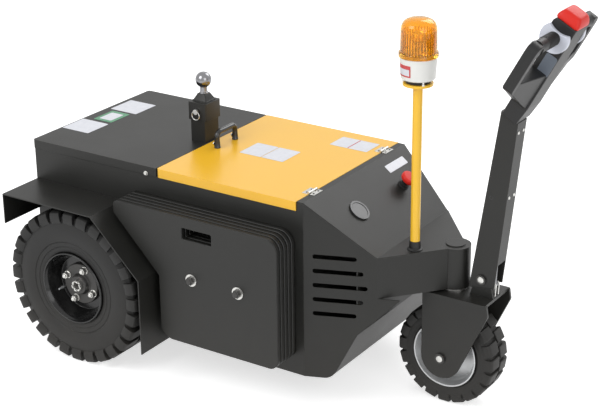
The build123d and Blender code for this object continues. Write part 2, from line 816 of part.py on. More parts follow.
def hitch_sleeve():
    half_x = sleeve_length / 2
    half_y = sleeve_width / 2
    sleeve = block(hitch_x - half_x, hitch_x + half_x, -half_y, half_y, sleeve_bottom_z, sleeve_top_z)
    sleeve -= block(hitch_x - post_length / 2 - seat_gap, hitch_x + post_length / 2 + seat_gap,
                    -post_width / 2 - seat_gap, post_width / 2 + seat_gap, sleeve_bottom_z, post_top_z + seat_gap)
    base = Pos(hitch_x, 0, sleeve_top_z) * RectangleRounded(crown_base, crown_base, 6)
    top = Pos(hitch_x, 0, sleeve_top_z + crown_height) * RectangleRounded(crown_top, crown_top, 6)
    sleeve += loft([base, top])
    return sleeve - rod_y(hitch_x, pin_z, pin_radius + seat_gap, -sleeve_width, sleeve_width)


def tow_ball():
    low = sleeve_top_z + crown_height
    ball = Pos(hitch_x, 0, ball_z) * Sphere(ball_radius)
    ball += rod_z(hitch_x, 0, ball_neck_radius, low, ball_z)
    return ball + rod_z(hitch_x, 0, ball_collar_radius, low, low + ball_collar_height)


def hitch_pin():
    half = sleeve_width / 2
    head_low = -half - seat_gap - pin_head_length
    pin = rod_y(hitch_x, pin_z, pin_radius, -half - seat_gap, half + pin_tail)
    pin += rod_y(hitch_x, pin_z, pin_head_radius, head_low, -half - seat_gap)
    ring = Rot(90, 0, 0) * Torus(pin_ring_radius, pin_ring_wire)
    return pin + Pos(hitch_x, head_low + 2, pin_z - pin_ring_radius + 2) * ring


# Lid handle and hinges
def lid_handle():
    path = FilletPolyline((handle_x, -handle_half_span, deck_top_z),
                          (handle_x, -handle_half_span, deck_top_z + handle_height),
                          (handle_x, handle_half_span, deck_top_z + handle_height),
                          (handle_x, handle_half_span, deck_top_z), radius=handle_bend)
    start = Plane(origin=(handle_x, -handle_half_span, deck_top_z), z_dir=(0, 0, 1))
    return sweep(start * Circle(handle_radius), path=path)


def hinge_axis_z():
    return deck_top_z + hinge_leaf + hinge_barrel_gap + hinge_knuckle_radius - hinge_leaf


def lid_hinge_leaves():
    leaves = []
    third = hinge_width / 3
    z = hinge_axis_z()
    for side in (-1, 1):
        y = side * hinge_y
        leaf = block(lid_front_x - hinge_leaf_length, lid_front_x, y - hinge_width / 2, y + hinge_width / 2,
                     deck_top_z, deck_top_z + hinge_leaf)
        leaf -= block(lid_front_x - 5, lid_front_x, y - third / 2 - seat_gap, y + third / 2 + seat_gap,
                      deck_top_z, deck_top_z + hinge_leaf)
        for end in (-1, 1):
            middle = y + end * third
            leaf += rod_y(lid_front_x, z, hinge_knuckle_radius, middle - third / 2 + seat_gap / 2,
                          middle + third / 2 - seat_gap / 2)
        leaves.append(leaf)
    return leaves


def nose_hinge_leaves():
    leaves = []
    third = hinge_width / 3
    z = hinge_axis_z()
    for side in (-1, 1):
        y = side * hinge_y
        leaf = block(lid_front_x + 5, body_front_x - 2, y - hinge_width / 2, y + hinge_width / 2,
                     deck_top_z, deck_top_z + hinge_leaf)
        leaf += block(lid_front_x, lid_front_x + 5, y - third / 2 + seat_gap, y + third / 2 - seat_gap,
                      deck_top_z + seat_gap, deck_top_z + hinge_leaf)
        leaf += rod_y(lid_front_x, z, hinge_knuckle_radius, y - third / 2 + seat_gap, y + third / 2 - seat_gap)
        leaves.append(leaf)
    return leaves


# Beacon
def beacon_pole():
    pole = rod_z(pole_x, pole_y, pole_radius, arm_top_z - panel_sheet, pole_top_z)
    pole += rod_z(pole_x, pole_y, pole_collar_radius, arm_top_z, arm_top_z + pole_collar_height)
    return pole + rod_z(pole_x, pole_y, pole_plate_radius, pole_top_z, pole_top_z + pole_plate_sheet)


def beacon_base():
    low = pole_top_z + pole_plate_sheet
    mid = low + lamp_neck_height
    base = rod_z(pole_x, pole_y, lamp_neck_radius, low, mid)
    return base + rod_z(pole_x, pole_y, lamp_base_radius, mid, mid + lamp_base_height)


def lamp_deck_z():
    return pole_top_z + pole_plate_sheet + lamp_neck_height + lamp_base_height


def beacon_lens():
    outline = [(lens_radius - lens_wall, 0), (lens_flange_radius, 0), (lens_flange_radius, lens_flange_height),
               (lens_radius, lens_flange_height), (lens_top_radius, lens_height - lens_crown),
               (lens_top_radius - 12, lens_height - 5), (0, lens_height), (0, lens_height - lens_wall),
               (lens_top_radius - 14, lens_height - 5 - lens_wall),
               (lens_top_radius - lens_wall, lens_height - lens_crown - 2),
               (lens_radius - lens_wall, lens_flange_height)]
    lens = revolve(Plane.XZ * make_face(Polyline(*outline, close=True)), Axis.Z)
    return Pos(pole_x, pole_y, lamp_deck_z()) * lens


def beacon_bulb():
    z = lamp_deck_z()
    return rod_z(pole_x, pole_y, bulb_radius, z, z + bulb_height)


# Controls on the sloping face
def slope_frame(x, y):
    return Plane(origin=(x, y, slope_z(x)), x_dir=(math.cos(nose_slope), 0, -math.sin(nose_slope)),
                 z_dir=(math.sin(nose_slope), 0, math.cos(nose_slope)))


def charge_gauge():
    gauge = Pos(0, 0, gauge_height / 2) * Cylinder(gauge_radius, gauge_height)
    gauge -= Pos(0, 0, gauge_height) * Cylinder(gauge_face_radius, gauge_height / 2)
    return slope_frame(gauge_x, gauge_y).location * gauge


def emergency_stop():
    stop = Pos(0, 0, stop_collar_height / 2) * Cylinder(stop_collar_radius, stop_collar_height)
    stop += Pos(0, 0, stop_collar_height + stop_head_height / 2) * Cylinder(stop_head_radius, stop_head_height)
    return slope_frame(stop_x, stop_y).location * stop


def build():
    nodes = {"tub": tub(), "rear_deck": rear_deck(), "lid": lid(), "battery_pack": battery_pack(),
             "rear_axle": rear_axle()}
    for name, make in (("rear_tyre", rear_tyre), ("rear_rim", rear_rim), ("rear_hub", rear_hub)):
        left, right = both(make())
        nodes[name + "_left"] = left
        nodes[name + "_right"] = right
    right, left = both(mudguard())
    nodes["mudguard_right"] = right
    nodes["mudguard_left"] = left
    right, left = both(Compound(children=ballast_plates()))
    nodes["ballast_plates_right"] = right
    nodes["ballast_plates_left"] = left
    right, left = both(Compound(children=ballast_bolts()))
    nodes["ballast_bolts_right"] = right
    nodes["ballast_bolts_left"] = left
    right, left = both(nose_cheek())
    nodes["nose_cheek_right"] = right
    nodes["nose_cheek_left"] = left
    nodes["nose_top"] = nose_top()
    nodes["nose_bulkhead"] = nose_bulkhead()
    nodes["arm_floor"] = arm_floor()
    nodes["head_tube"] = head_tube()
    nodes["fork_frame"] = fork_frame()
    nodes["fork_stem"] = fork_stem()
    nodes["front_axle"] = front_axle()
    nodes["front_tyre"] = front_tyre()
    nodes["front_rim"] = front_rim()
    nodes["tiller_bracket"] = tiller_bracket()
    nodes["spring_clevis"] = Compound(children=spring_clevis())
    nodes["tiller_pivot"] = tiller_pivot()
    nodes["tiller_arm"] = tiller_arm()
    nodes["gas_spring_rod"] = gas_spring_rod()
    nodes["gas_spring_cylinder"] = gas_spring_cylinder()
    nodes["tiller_head"] = tiller_head()
    nodes["throttle_paddles"] = Compound(children=throttle_paddles())
    nodes["belly_button"] = belly_button()
    nodes["hitch_post"] = hitch_post()
    nodes["hitch_sleeve"] = hitch_sleeve()
    nodes["tow_ball"] = tow_ball()
    nodes["hitch_pin"] = hitch_pin()
    nodes["lid_handle"] = lid_handle()
    nodes["lid_hinge_leaves"] = Compound(children=lid_hinge_leaves())
    nodes["nose_hinge_leaves"] = Compound(children=nose_hinge_leaves())
    nodes["beacon_pole"] = beacon_pole()
    nodes["beacon_base"] = beacon_base()
    nodes["beacon_lens"] = beacon_lens()
    nodes["beacon_bulb"] = beacon_bulb()
    nodes["charge_gauge"] = charge_gauge()
    nodes["emergency_stop"] = emergency_stop()
    return nodes


nodes = build()
boxes = [shape.bounding_box() for shape in nodes.values()]
rear_end = min(box.min.X for box in boxes)
front_end = max(box.max.X for box in boxes)
origin_shift = -(rear_end + front_end) / 2
print("origin shift", round(origin_shift, 3), "length", round(front_end - rear_end, 2))

os.makedirs("parts", exist_ok=True)
for name, shape in nodes.items():
    export_step(shape.moved(Location((origin_shift, 0, 0))), "parts/" + name + ".step")
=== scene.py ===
import bpy
import bmesh
import json
import math
from mathutils import Matrix, Vector
from mathutils.bvhtree import BVHTree


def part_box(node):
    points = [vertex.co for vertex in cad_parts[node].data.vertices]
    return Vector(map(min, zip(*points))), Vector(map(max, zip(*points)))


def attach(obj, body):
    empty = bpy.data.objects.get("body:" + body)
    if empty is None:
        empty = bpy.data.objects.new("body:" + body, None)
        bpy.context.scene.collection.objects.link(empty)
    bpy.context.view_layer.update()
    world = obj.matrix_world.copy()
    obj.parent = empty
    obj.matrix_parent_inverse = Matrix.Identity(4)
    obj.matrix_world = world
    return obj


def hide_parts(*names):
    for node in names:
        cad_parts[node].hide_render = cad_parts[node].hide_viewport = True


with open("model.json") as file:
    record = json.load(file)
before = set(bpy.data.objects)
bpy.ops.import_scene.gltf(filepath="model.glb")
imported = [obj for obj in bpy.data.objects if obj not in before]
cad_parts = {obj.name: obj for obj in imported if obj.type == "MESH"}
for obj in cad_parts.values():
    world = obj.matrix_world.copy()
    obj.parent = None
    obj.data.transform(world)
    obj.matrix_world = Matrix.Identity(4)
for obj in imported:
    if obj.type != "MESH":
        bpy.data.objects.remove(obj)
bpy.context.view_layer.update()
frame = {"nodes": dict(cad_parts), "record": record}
nodes = frame["nodes"]
print("frame loaded")

# Everything here is placed from the rear axle, in millimetres, as on the drawing
wheelLow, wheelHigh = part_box("rear_tyre_left")
axleX = (wheelLow.x + wheelHigh.x) / 2


def spot(x, y, z):
    return Vector((axleX + x / 1000, y / 1000, z / 1000))


# Camera at the photograph's viewing angle
cameraSetup = {
    "azimuth": 31.96,
    "elevation": 21.34,
    "target": (617.73, 65.75, 540.31),
    "distance": 4515.77,
    "focalPixels": 1580.6,
    "frameWidth": 600,
    "frameHeight": 406,
    "centre": (339.99, 180.89),
    "sensorWidth": 36,
    "clipEnd": 60,
}


def makeCamera(setup):
    azimuth = math.radians(setup["azimuth"])
    elevation = math.radians(setup["elevation"])
    back = Vector((math.sin(azimuth) * math.cos(elevation),
                   -math.cos(azimuth) * math.cos(elevation), math.sin(elevation)))
    right = Vector((math.cos(azimuth), math.sin(azimuth), 0))
    up = back.cross(right)
    data = bpy.data.cameras.new("photoCamera")
    data.sensor_width = setup["sensorWidth"]
    data.lens = setup["focalPixels"] / setup["frameWidth"] * data.sensor_width
    data.shift_x = 0.5 - setup["centre"][0] / setup["frameWidth"]
    data.shift_y = (setup["centre"][1] - setup["frameHeight"] / 2) / setup["frameWidth"]
    data.clip_end = setup["clipEnd"]
    camera = bpy.data.objects.new("photoCamera", data)
    turn = Matrix((right, up, back)).transposed().to_4x4()
    place = spot(*setup["target"]) + back * setup["distance"] / 1000
    camera.matrix_world = Matrix.Translation(place) @ turn
    bpy.context.collection.objects.link(camera)
    bpy.context.scene.camera = camera


makeCamera(cameraSetup)
print("camera placed")

# Shader groups: each is built once and placed in the materials with its own values


def newGroup(name, inputs, outputs):
    tree = bpy.data.node_groups.new(name, "ShaderNodeTree")
    for label, value in inputs.items():
        tree.interface.new_socket(label, in_out="INPUT", socket_type="NodeSocketFloat").default_value = value
    for label, kind in outputs.items():
        tree.interface.new_socket(label, in_out="OUTPUT", socket_type="NodeSocket" + kind)
    return tree, tree.nodes.new("NodeGroupInput").outputs, tree.nodes.new("NodeGroupOutput").inputs


def feed(tree, socket, value):
    # A plain value is set on the socket, and another node's output is linked to it
    if isinstance(value, bpy.types.NodeSocket):
        tree.links.new(value, socket)
    else:
        socket.default_value = value


def addNode(tree, kind, inputs, **settings):
    node = tree.nodes.new(kind)
    for name, value in settings.items():
        setattr(node, name, value)
    for label, value in inputs.items():
        feed(tree, node.inputs[label], value)
    return node.outputs


def mathNode(tree, operation, first, second=0.5, clamp=False):
    inputs = {0: first, 1: second}
    return addNode(tree, "ShaderNodeMath", inputs, operation=operation, use_clamp=clamp)[0]


def noiseNode(tree, vector, scale, detail, rough=0.55):
    inputs = {"Vector": vector, "Scale": scale, "Detail": detail, "Roughness": rough}
    return addNode(tree, "ShaderNodeTexNoise", inputs)["Fac"]


def splitNode(tree, vector):
    return addNode(tree, "ShaderNodeSeparateXYZ", {"Vector": vector})


def bumpNode(tree, height, normal, strength, distance, invert=False):
    inputs = {"Height": height, "Normal": normal, "Strength": strength, "Distance": distance}
    return addNode(tree, "ShaderNodeBump", inputs, invert=invert)["Normal"]


def objectPlace(tree):
    return addNode(tree, "ShaderNodeTexCoord", {})["Object"]


def faceNormal(tree):
    return addNode(tree, "ShaderNodeNewGeometry", {})["Normal"]


# Fixed amounts inside the groups
groupSetup = {
    "grain": {"detail": 2.0, "share": 0.35, "patchDetail": 4.0, "patchShare": 0.65, "middle": 0.5},
    "edge": {"samples": 6, "gain": 6.0, "detail": 5.0, "rough": 0.65, "breakFrom": 0.42, "breakGain": 5.0},
    "dust": {"scale": 22.0, "detail": 6.0, "rough": 0.7},
    "seams": {"grooveSpread": 1.4},
}


def buildGrain(setup):
    # Fine texture of a moulded or sprayed skin, with broad uneven sheen
    tree, source, out = newGroup(
        "fineGrain", {"Grain Scale": 900.0, "Patch Scale": 9.0, "Roughness": 0.5, "Spread": 0.1},
        {"Height": "Float", "Roughness": "Float", "Patches": "Float"})
    place = objectPlace(tree)
    grain = noiseNode(tree, place, source["Grain Scale"], setup["detail"])
    patches = noiseNode(tree, place, source["Patch Scale"], setup["patchDetail"])
    tree.links.new(grain, out["Height"])
    tree.links.new(patches, out["Patches"])
    both = mathNode(tree, "ADD", mathNode(tree, "MULTIPLY", grain, setup["share"]),
                    mathNode(tree, "MULTIPLY", patches, setup["patchShare"]))
    shift = mathNode(tree, "MULTIPLY", mathNode(tree, "SUBTRACT", both, setup["middle"]), source["Spread"])
    tree.links.new(mathNode(tree, "ADD", shift, source["Roughness"], True), out["Roughness"])
    return tree


def buildEdge(setup):
    # A softened normal and a mask of the edges, broken up by noise, used for wear and a painted edge highlight
    tree, source, out = newGroup("softEdge", {"Radius": 0.0015, "Breakup Scale": 60.0},
                                 {"Normal": "Vector", "Edge": "Float"})
    soft = addNode(tree, "ShaderNodeBevel", {"Radius": source["Radius"]}, samples=setup["samples"])["Normal"]
    dot = addNode(tree, "ShaderNodeVectorMath", {0: soft, 1: faceNormal(tree)}, operation="DOT_PRODUCT")
    bend = mathNode(tree, "SUBTRACT", 1.0, dot["Value"])
    sharp = mathNode(tree, "MULTIPLY", bend, setup["gain"], True)
    patches = noiseNode(tree, objectPlace(tree), source["Breakup Scale"], setup["detail"], setup["rough"])
    above = mathNode(tree, "SUBTRACT", patches, setup["breakFrom"])
    broken = mathNode(tree, "MULTIPLY", above, setup["breakGain"], True)
    tree.links.new(mathNode(tree, "MULTIPLY", sharp, broken, True), out["Edge"])
    tree.links.new(soft, out["Normal"])
    return tree


def buildDust(setup):
    # Road dust that settles low down and on what faces up
    tree, source, out = newGroup("roadDust", {"Top": 0.35, "Fade": 3.0, "Ledge": 0.15}, {"Dust": "Float"})
    place = objectPlace(tree)
    below = mathNode(tree, "SUBTRACT", source["Top"], splitNode(tree, place)["Z"])
    low = mathNode(tree, "MULTIPLY", below, source["Fade"], True)
    upward = mathNode(tree, "MAXIMUM", splitNode(tree, faceNormal(tree))["Z"], 0.0)
    ledge = mathNode(tree, "MULTIPLY", upward, source["Ledge"])
    patches = noiseNode(tree, place, setup["scale"], setup["detail"], setup["rough"])
    total = mathNode(tree, "MULTIPLY", mathNode(tree, "ADD", low, ledge), patches, True)
    tree.links.new(total, out["Dust"])
    return tree


def buildSeams(setup):
    # Dark lines where sheets stacked along Y meet, seen on their edges only
    tree, source, out = newGroup("sheetSeams", {"Start": 0.2695, "Pitch": 0.018, "Width": 0.003},
                                 {"Seam": "Float", "Groove": "Float"})
    outward = mathNode(tree, "ABSOLUTE", splitNode(tree, objectPlace(tree))["Y"])
    depth = mathNode(tree, "SUBTRACT", outward, source["Start"])
    near = mathNode(tree, "PINGPONG", depth, mathNode(tree, "MULTIPLY", source["Pitch"], 0.5))
    line = mathNode(tree, "LESS_THAN", near, mathNode(tree, "MULTIPLY", source["Width"], 0.5))
    sideways = mathNode(tree, "ABSOLUTE", splitNode(tree, faceNormal(tree))["Y"])
    edgeOn = mathNode(tree, "SUBTRACT", 1.0, sideways)
    tree.links.new(mathNode(tree, "MULTIPLY", line, edgeOn, True), out["Seam"])
    reach = mathNode(tree, "MULTIPLY", source["Width"], setup["grooveSpread"])
    hollow = mathNode(tree, "SUBTRACT", 1.0, mathNode(tree, "DIVIDE", near, reach), True)
    tree.links.new(mathNode(tree, "MULTIPLY", hollow, edgeOn, True), out["Groove"])
    return tree


grainGroup = buildGrain(groupSetup["grain"])
seamGroup = buildSeams(groupSetup["seams"])
edgeGroup = buildEdge(groupSetup["edge"])
dustGroup = buildDust(groupSetup["dust"])


def placeGroup(tree, group, values):
    return addNode(tree, "ShaderNodeGroup", values, node_tree=group)


def mixColor(tree, factor, first, second):
    first, second = [(*value, 1) if isinstance(value, tuple) else value for value in (first, second)]
    return addNode(tree, "ShaderNodeMix", {0: factor, 6: first, 7: second}, data_type="RGBA")[2]


# What a finish has where its own look names nothing else
plainLook = {
    "metallic": 0.0, "specular": 0.5, "coat": 0.0, "coatRoughness": 0.1, "glass": 0.0, "ior": 1.5,
    "grainScale": 900.0, "patchScale": 9.0, "spread": 0.1, "bump": 0.15, "bumpDepth": 0.0004,
    "edgeRadius": 0.0015, "edgeWearAndHighlight": 0.3, "dust": 0.0, "dustColor": (0.23, 0.20, 0.16),
    "seamColor": (0.0, 0.0, 0.0), "grooveDepth": 0.004,
}
socketKeys = {"Metallic": "metallic", "Specular IOR Level": "specular", "Coat Weight": "coat",
              "Coat Roughness": "coatRoughness", "Transmission Weight": "glass", "IOR": "ior"}


def makeMaterial(name, given):
    look = {**plainLook, "patchColor": given["color"], "edgeWearAndHighlightColor": given["color"], **given}
    material = bpy.data.materials.new(name)
    material.use_nodes = True
    tree = material.node_tree
    shader = tree.nodes["Principled BSDF"]
    for label, key in socketKeys.items():
        shader.inputs[label].default_value = look[key]
    grain = placeGroup(tree, grainGroup, {"Grain Scale": look["grainScale"], "Patch Scale": look["patchScale"],
                                          "Roughness": look["roughness"], "Spread": look["spread"]})
    edge = placeGroup(tree, edgeGroup, {"Radius": look["edgeRadius"]})
    dust = placeGroup(tree, dustGroup, {})
    # Lighter colour along the edges: partly wear, partly a painted highlight
    wearAndHighlight = mathNode(tree, "MULTIPLY", edge["Edge"], look["edgeWearAndHighlight"])
    dirt = mathNode(tree, "MULTIPLY", dust["Dust"], look["dust"])
    color = mixColor(tree, grain["Patches"], look["color"], look["patchColor"])
    color = mixColor(tree, wearAndHighlight, color, look["edgeWearAndHighlightColor"])
    color = mixColor(tree, dirt, color, look["dustColor"])
    normal = bumpNode(tree, grain["Height"], edge["Normal"], look["bump"], look["bumpDepth"])
    if "seams" in look:
        seams = placeGroup(tree, seamGroup, look["seams"])
        color = mixColor(tree, seams["Seam"], color, look["seamColor"])
        normal = bumpNode(tree, seams["Groove"], normal, 1.0, look["grooveDepth"], invert=True)
    tree.links.new(color, shader.inputs["Base Color"])
    tree.links.new(grain["Roughness"], shader.inputs["Roughness"])
    tree.links.new(normal, shader.inputs["Normal"])
    return material


# One look for each finish on the machine
looks = {
    "chassis_black": {"color": (0.012, 0.012, 0.011), "patchColor": (0.019, 0.019, 0.017), "roughness": 0.42,
                      "specular": 0.36, "spread": 0.16, "edgeWearAndHighlightColor": (0.13, 0.13, 0.12), "edgeWearAndHighlight": 0.35,
                      "bump": 0.25, "dust": 0.08},
    "ballast_black": {"color": (0.013, 0.013, 0.012), "patchColor": (0.021, 0.021, 0.019), "roughness": 0.44,
                      "specular": 0.36, "spread": 0.18, "edgeWearAndHighlightColor": (0.14, 0.14, 0.13), "edgeWearAndHighlight": 0.4,
                      "bump": 0.25, "dust": 0.08,
                      "seams": {"Start": 0.2695, "Pitch": 0.018, "Width": 0.0030}},
    "lid_yellow": {"color": (0.92, 0.49, 0.014), "patchColor": (0.94, 0.53, 0.020), "roughness": 0.3,
                   "spread": 0.12, "edgeWearAndHighlightColor": (0.98, 0.70, 0.18), "edgeWearAndHighlight": 0.4, "bump": 0.12, "coat": 0.25,
                   "coatRoughness": 0.2},
    "pole_yellow": {"color": (0.92, 0.52, 0.025), "patchColor": (0.94, 0.56, 0.03), "roughness": 0.32,
                    "edgeWearAndHighlightColor": (0.97, 0.7, 0.2), "coat": 0.2},
    "battery_grey": {"color": (0.08, 0.08, 0.085), "roughness": 0.5},
    "axle_grey": {"color": (0.09, 0.09, 0.09), "patchColor": (0.13, 0.125, 0.12), "roughness": 0.6,
                  "grainScale": 300.0, "bump": 0.5, "dust": 0.4},
    "tyre_black": {"color": (0.010, 0.010, 0.010), "patchColor": (0.019, 0.019, 0.018), "roughness": 0.56,
                   "spread": 0.2, "edgeWearAndHighlightColor": (0.06, 0.06, 0.058), "edgeWearAndHighlight": 0.5, "bump": 0.35,
                   "grainScale": 500.0, "dust": 0.10, "specular": 0.34, "edgeRadius": 0.002},
    "rim_black": {"color": (0.006, 0.006, 0.006), "patchColor": (0.010, 0.010, 0.010), "roughness": 0.16,
                  "edgeWearAndHighlightColor": (0.10, 0.10, 0.095), "edgeWearAndHighlight": 0.2, "specular": 0.45, "edgeRadius": 0.002,
                  "bump": 0.05},
    "rim_silver": {"color": (0.58, 0.59, 0.60), "patchColor": (0.66, 0.67, 0.68), "roughness": 0.32,
                   "metallic": 0.6, "spread": 0.15, "dust": 0.15},
    "hub_steel": {"color": (0.56, 0.56, 0.54), "patchColor": (0.68, 0.67, 0.64), "roughness": 0.3,
                  "metallic": 0.9, "spread": 0.25, "patchScale": 40.0, "edgeRadius": 0.0008},
    "nut_dark": {"color": (0.035, 0.034, 0.033), "patchColor": (0.06, 0.058, 0.055), "roughness": 0.36,
                 "metallic": 0.4, "spread": 0.2, "patchScale": 60.0, "edgeRadius": 0.0008},
    "ball_chrome": {"color": (0.28, 0.28, 0.29), "patchColor": (0.23, 0.23, 0.24), "roughness": 0.2,
                    "metallic": 1.0, "spread": 0.08, "patchScale": 60.0},
    "plastic_black": {"color": (0.010, 0.010, 0.010), "patchColor": (0.017, 0.017, 0.017), "roughness": 0.44,
                      "specular": 0.36, "grainScale": 700.0, "bump": 0.3},
    "handle_gloss": {"color": (0.008, 0.008, 0.008), "patchColor": (0.012, 0.012, 0.012), "roughness": 0.18,
                     "bump": 0.05, "coat": 0.3},
    # Blue-grey of the head's side panels, partly a painted sky reflection
    "panel_reflection_grey": {"color": (0.11, 0.13, 0.16), "patchColor": (0.14, 0.16, 0.19), "roughness": 0.42,
                   "grainScale": 700.0},
    "paddle_grey": {"color": (0.64, 0.67, 0.76), "patchColor": (0.70, 0.72, 0.80), "roughness": 0.36},
    "button_red": {"color": (0.66, 0.020, 0.012), "patchColor": (0.72, 0.026, 0.016), "roughness": 0.42,
                   "specular": 0.3},
    "beacon_white": {"color": (0.80, 0.80, 0.77), "patchColor": (0.84, 0.84, 0.81), "roughness": 0.38},
    "lens_amber": {"color": (1.0, 0.58, 0.06), "patchColor": (1.0, 0.61, 0.07), "roughness": 0.08,
                   "glass": 0.9, "ior": 1.42, "edgeWearAndHighlight": 0.0, "bump": 0.05, "spread": 0.04},
    "bulb_silver": {"color": (0.85, 0.85, 0.80), "roughness": 0.2, "metallic": 0.7},
    "gauge_grey": {"color": (0.022, 0.022, 0.024), "roughness": 0.3, "coat": 0.3},
    "gauge_face": {"color": (0.10, 0.105, 0.11), "patchColor": (0.50, 0.51, 0.52), "roughness": 0.2,
                   "patchScale": 110.0, "coat": 0.6, "edgeWearAndHighlight": 0.0},
    "label_white": {"color": (0.62, 0.64, 0.70), "patchColor": (0.78, 0.79, 0.84), "roughness": 0.34,
                    "patchScale": 70.0, "coat": 0.25, "edgeWearAndHighlight": 0.0, "bump": 0.03},
    "label_green": {"color": (0.03, 0.24, 0.10), "patchColor": (0.05, 0.30, 0.13), "roughness": 0.34,
                    "patchScale": 60.0, "coat": 0.25, "edgeWearAndHighlight": 0.0, "bump": 0.03},
    "label_red": {"color": (0.55, 0.03, 0.03), "patchColor": (0.62, 0.05, 0.05), "roughness": 0.34,
                  "patchScale": 60.0, "coat": 0.25, "edgeWearAndHighlight": 0.0, "bump": 0.03},
}
materials = {name: makeMaterial(name, look) for name, look in looks.items()}
ownLook = {"ballast_plates_left": "ballast_black", "ballast_plates_right": "ballast_black",
           "front_axle": "nut_dark", "tiller_pivot": "nut_dark"}
for entry in frame["record"]["subparts"]:
    piece = nodes[entry["node"]]
    piece.data.materials.clear()
    piece.data.materials.append(materials[ownLook.get(entry["node"], entry["material_slot"])])
print("materials placed")

# Mesh helpers, in millimetres: a place function turns two cross coordinates and one along into a point


def rounded(points, steps=5):
    # Points with a third number get an arc of that radius for a corner
    result = []
    for index, point in enumerate(points):
        here = Vector(point[:2])
        if len(point) < 3:
            result.append(tuple(here))
            continue
        radius = point[2]
        before = (Vector(points[index - 1][:2]) - here).normalized()
        after = (Vector(points[(index + 1) % len(points)][:2]) - here).normalized()
        half = before.angle(after) / 2
        middle = here + (before + after).normalized() * radius / math.sin(half)
        start = here + before * radius / math.tan(half) - middle
        end = here + after * radius / math.tan(half) - middle
        first = math.atan2(start.y, start.x)
        sweep = (math.atan2(end.y, end.x) - first + math.pi) % (2 * math.pi) - math.pi
        for step in range(steps + 1):
            angle = first + sweep * step / steps
            result.append((middle.x + radius * math.cos(angle), middle.y + radius * math.sin(angle)))
    return result


def rectangle(low, high, corner):
    corners = ((low[0], low[1]), (high[0], low[1]), (high[0], high[1]), (low[0], high[1]))
    return rounded([(*point, corner) for point in corners])


def arcPoints(centre, radius, degrees):
    turns = [math.radians(turn) for turn in degrees]
    return [(centre[0] + radius * math.cos(turn), centre[1] + radius * math.sin(turn)) for turn in turns]


def hexagon(flats):
    return arcPoints((0, 0), flats / math.sqrt(3), range(0, 360, 60))


def addLoft(mesh, rings, looped=False):
    rows = [[mesh.verts.new(point) for point in ring] for ring in rings]
    pairs = list(zip(rows, rows[1:]))
    if looped:
        pairs.append((rows[-1], rows[0]))
    for first, second in pairs:
        for index in range(len(first)):
            following = (index + 1) % len(first)
            mesh.faces.new((first[index], first[following], second[following], second[index]))
    if not looped:
        mesh.faces.new(rows[0][::-1])
        mesh.faces.new(rows[-1])


def addPrism(mesh, outline, place, low, high):
    addLoft(mesh, [[place(u, v, along) for u, v in outline] for along in (low, high)])


def addBlock(mesh, low, high, corner):
    addPrism(mesh, rectangle(low, high, corner), spot, low[2], high[2])


def addLathe(mesh, profile, place, segments=48, looped=False):
    turns = [2 * math.pi * k / segments for k in range(segments)]
    addLoft(mesh, [[place(radius * math.cos(turn), radius * math.sin(turn), along) for turn in turns]
                   for radius, along in profile], looped)


def addTube(mesh, path, radius, place, segments=20):
    rings = []
    for index, point in enumerate(path):
        here = Vector(point)
        ahead = Vector(path[min(index + 1, len(path) - 1)]) - Vector(path[max(index - 1, 0)])
        side = Vector((ahead.y, -ahead.x)).normalized()
        ring = []
        for k in range(segments):
            turn = 2 * math.pi * k / segments
            flat = here + side * radius * math.cos(turn)
            ring.append(place(flat.x, flat.y, radius * math.sin(turn)))
        rings.append(ring)
    addLoft(mesh, rings)


def closeMesh(mesh, name, sharp=38):
    bmesh.ops.remove_doubles(mesh, verts=mesh.verts, dist=1e-6)
    bmesh.ops.recalc_face_normals(mesh, faces=mesh.faces)
    for face in mesh.faces:
        face.smooth = True
    for edge in mesh.edges:
        if len(edge.link_faces) == 2 and edge.calc_face_angle(0.0) > math.radians(sharp):
            edge.smooth = False
    data = bpy.data.meshes.new(name)
    mesh.to_mesh(data)
    mesh.free()
    return data


bevelSetup = {"segments": 3, "angleLimit": 35}


def finishPiece(mesh, name, finish, body, slotName=None, stands=(), bevel=0.0, sharp=38):
    data = closeMesh(mesh, name, sharp)
    data.materials.append(materials[finish])
    piece = bpy.data.objects.new(name, data)
    bpy.context.collection.objects.link(piece)
    if bevel:
        modifier = piece.modifiers.new("softCorners", "BEVEL")
        modifier.width = bevel / 1000
        modifier.segments = bevelSetup["segments"]
        modifier.limit_method = "ANGLE"
        modifier.angle_limit = math.radians(bevelSetup["angleLimit"])
        modifier.harden_normals = True
    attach(piece, body)
    slotName or finish
    if stands:
        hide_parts(*stands)


def turnPiece(profile, place, name, finish, body, segments=48, looped=False, **options):
    mesh = bmesh.new()
    addLathe(mesh, profile, place, segments, looped)
    finishPiece(mesh, name, finish, body, **options)


def turnPair(setup, name, finish, body, segments):
    # The same turned piece on both sides of the machine
    mesh = bmesh.new()
    for side in (-1, 1):
        addLathe(mesh, setup["profile"],
                 lambda u, v, along: spot(setup["x"] + u, side * along, setup["z"] + v), segments)
    finishPiece(mesh, name, finish, body)


# Geometry Nodes: one tree sets pieces round a ring, the other in a row


def newTree(name, ownInputs):
    tree = bpy.data.node_groups.new(name, "GeometryNodeTree")
    inputs = {"Piece": ("Object", None), "Count": ("Int", 4), **ownInputs, "Centre": ("Vector", (0, 0, 0)),
              "Turn": ("Vector", (0, 0, 0)), "Material": ("Material", None)}
    for label, (kind, value) in inputs.items():
        socket = tree.interface.new_socket(label, in_out="INPUT", socket_type="NodeSocket" + kind)
        if value is not None:
            socket.default_value = value
    tree.interface.new_socket("Geometry", in_out="OUTPUT", socket_type="NodeSocketGeometry")
    return tree, tree.nodes.new("NodeGroupInput").outputs, tree.nodes.new("NodeGroupOutput").inputs


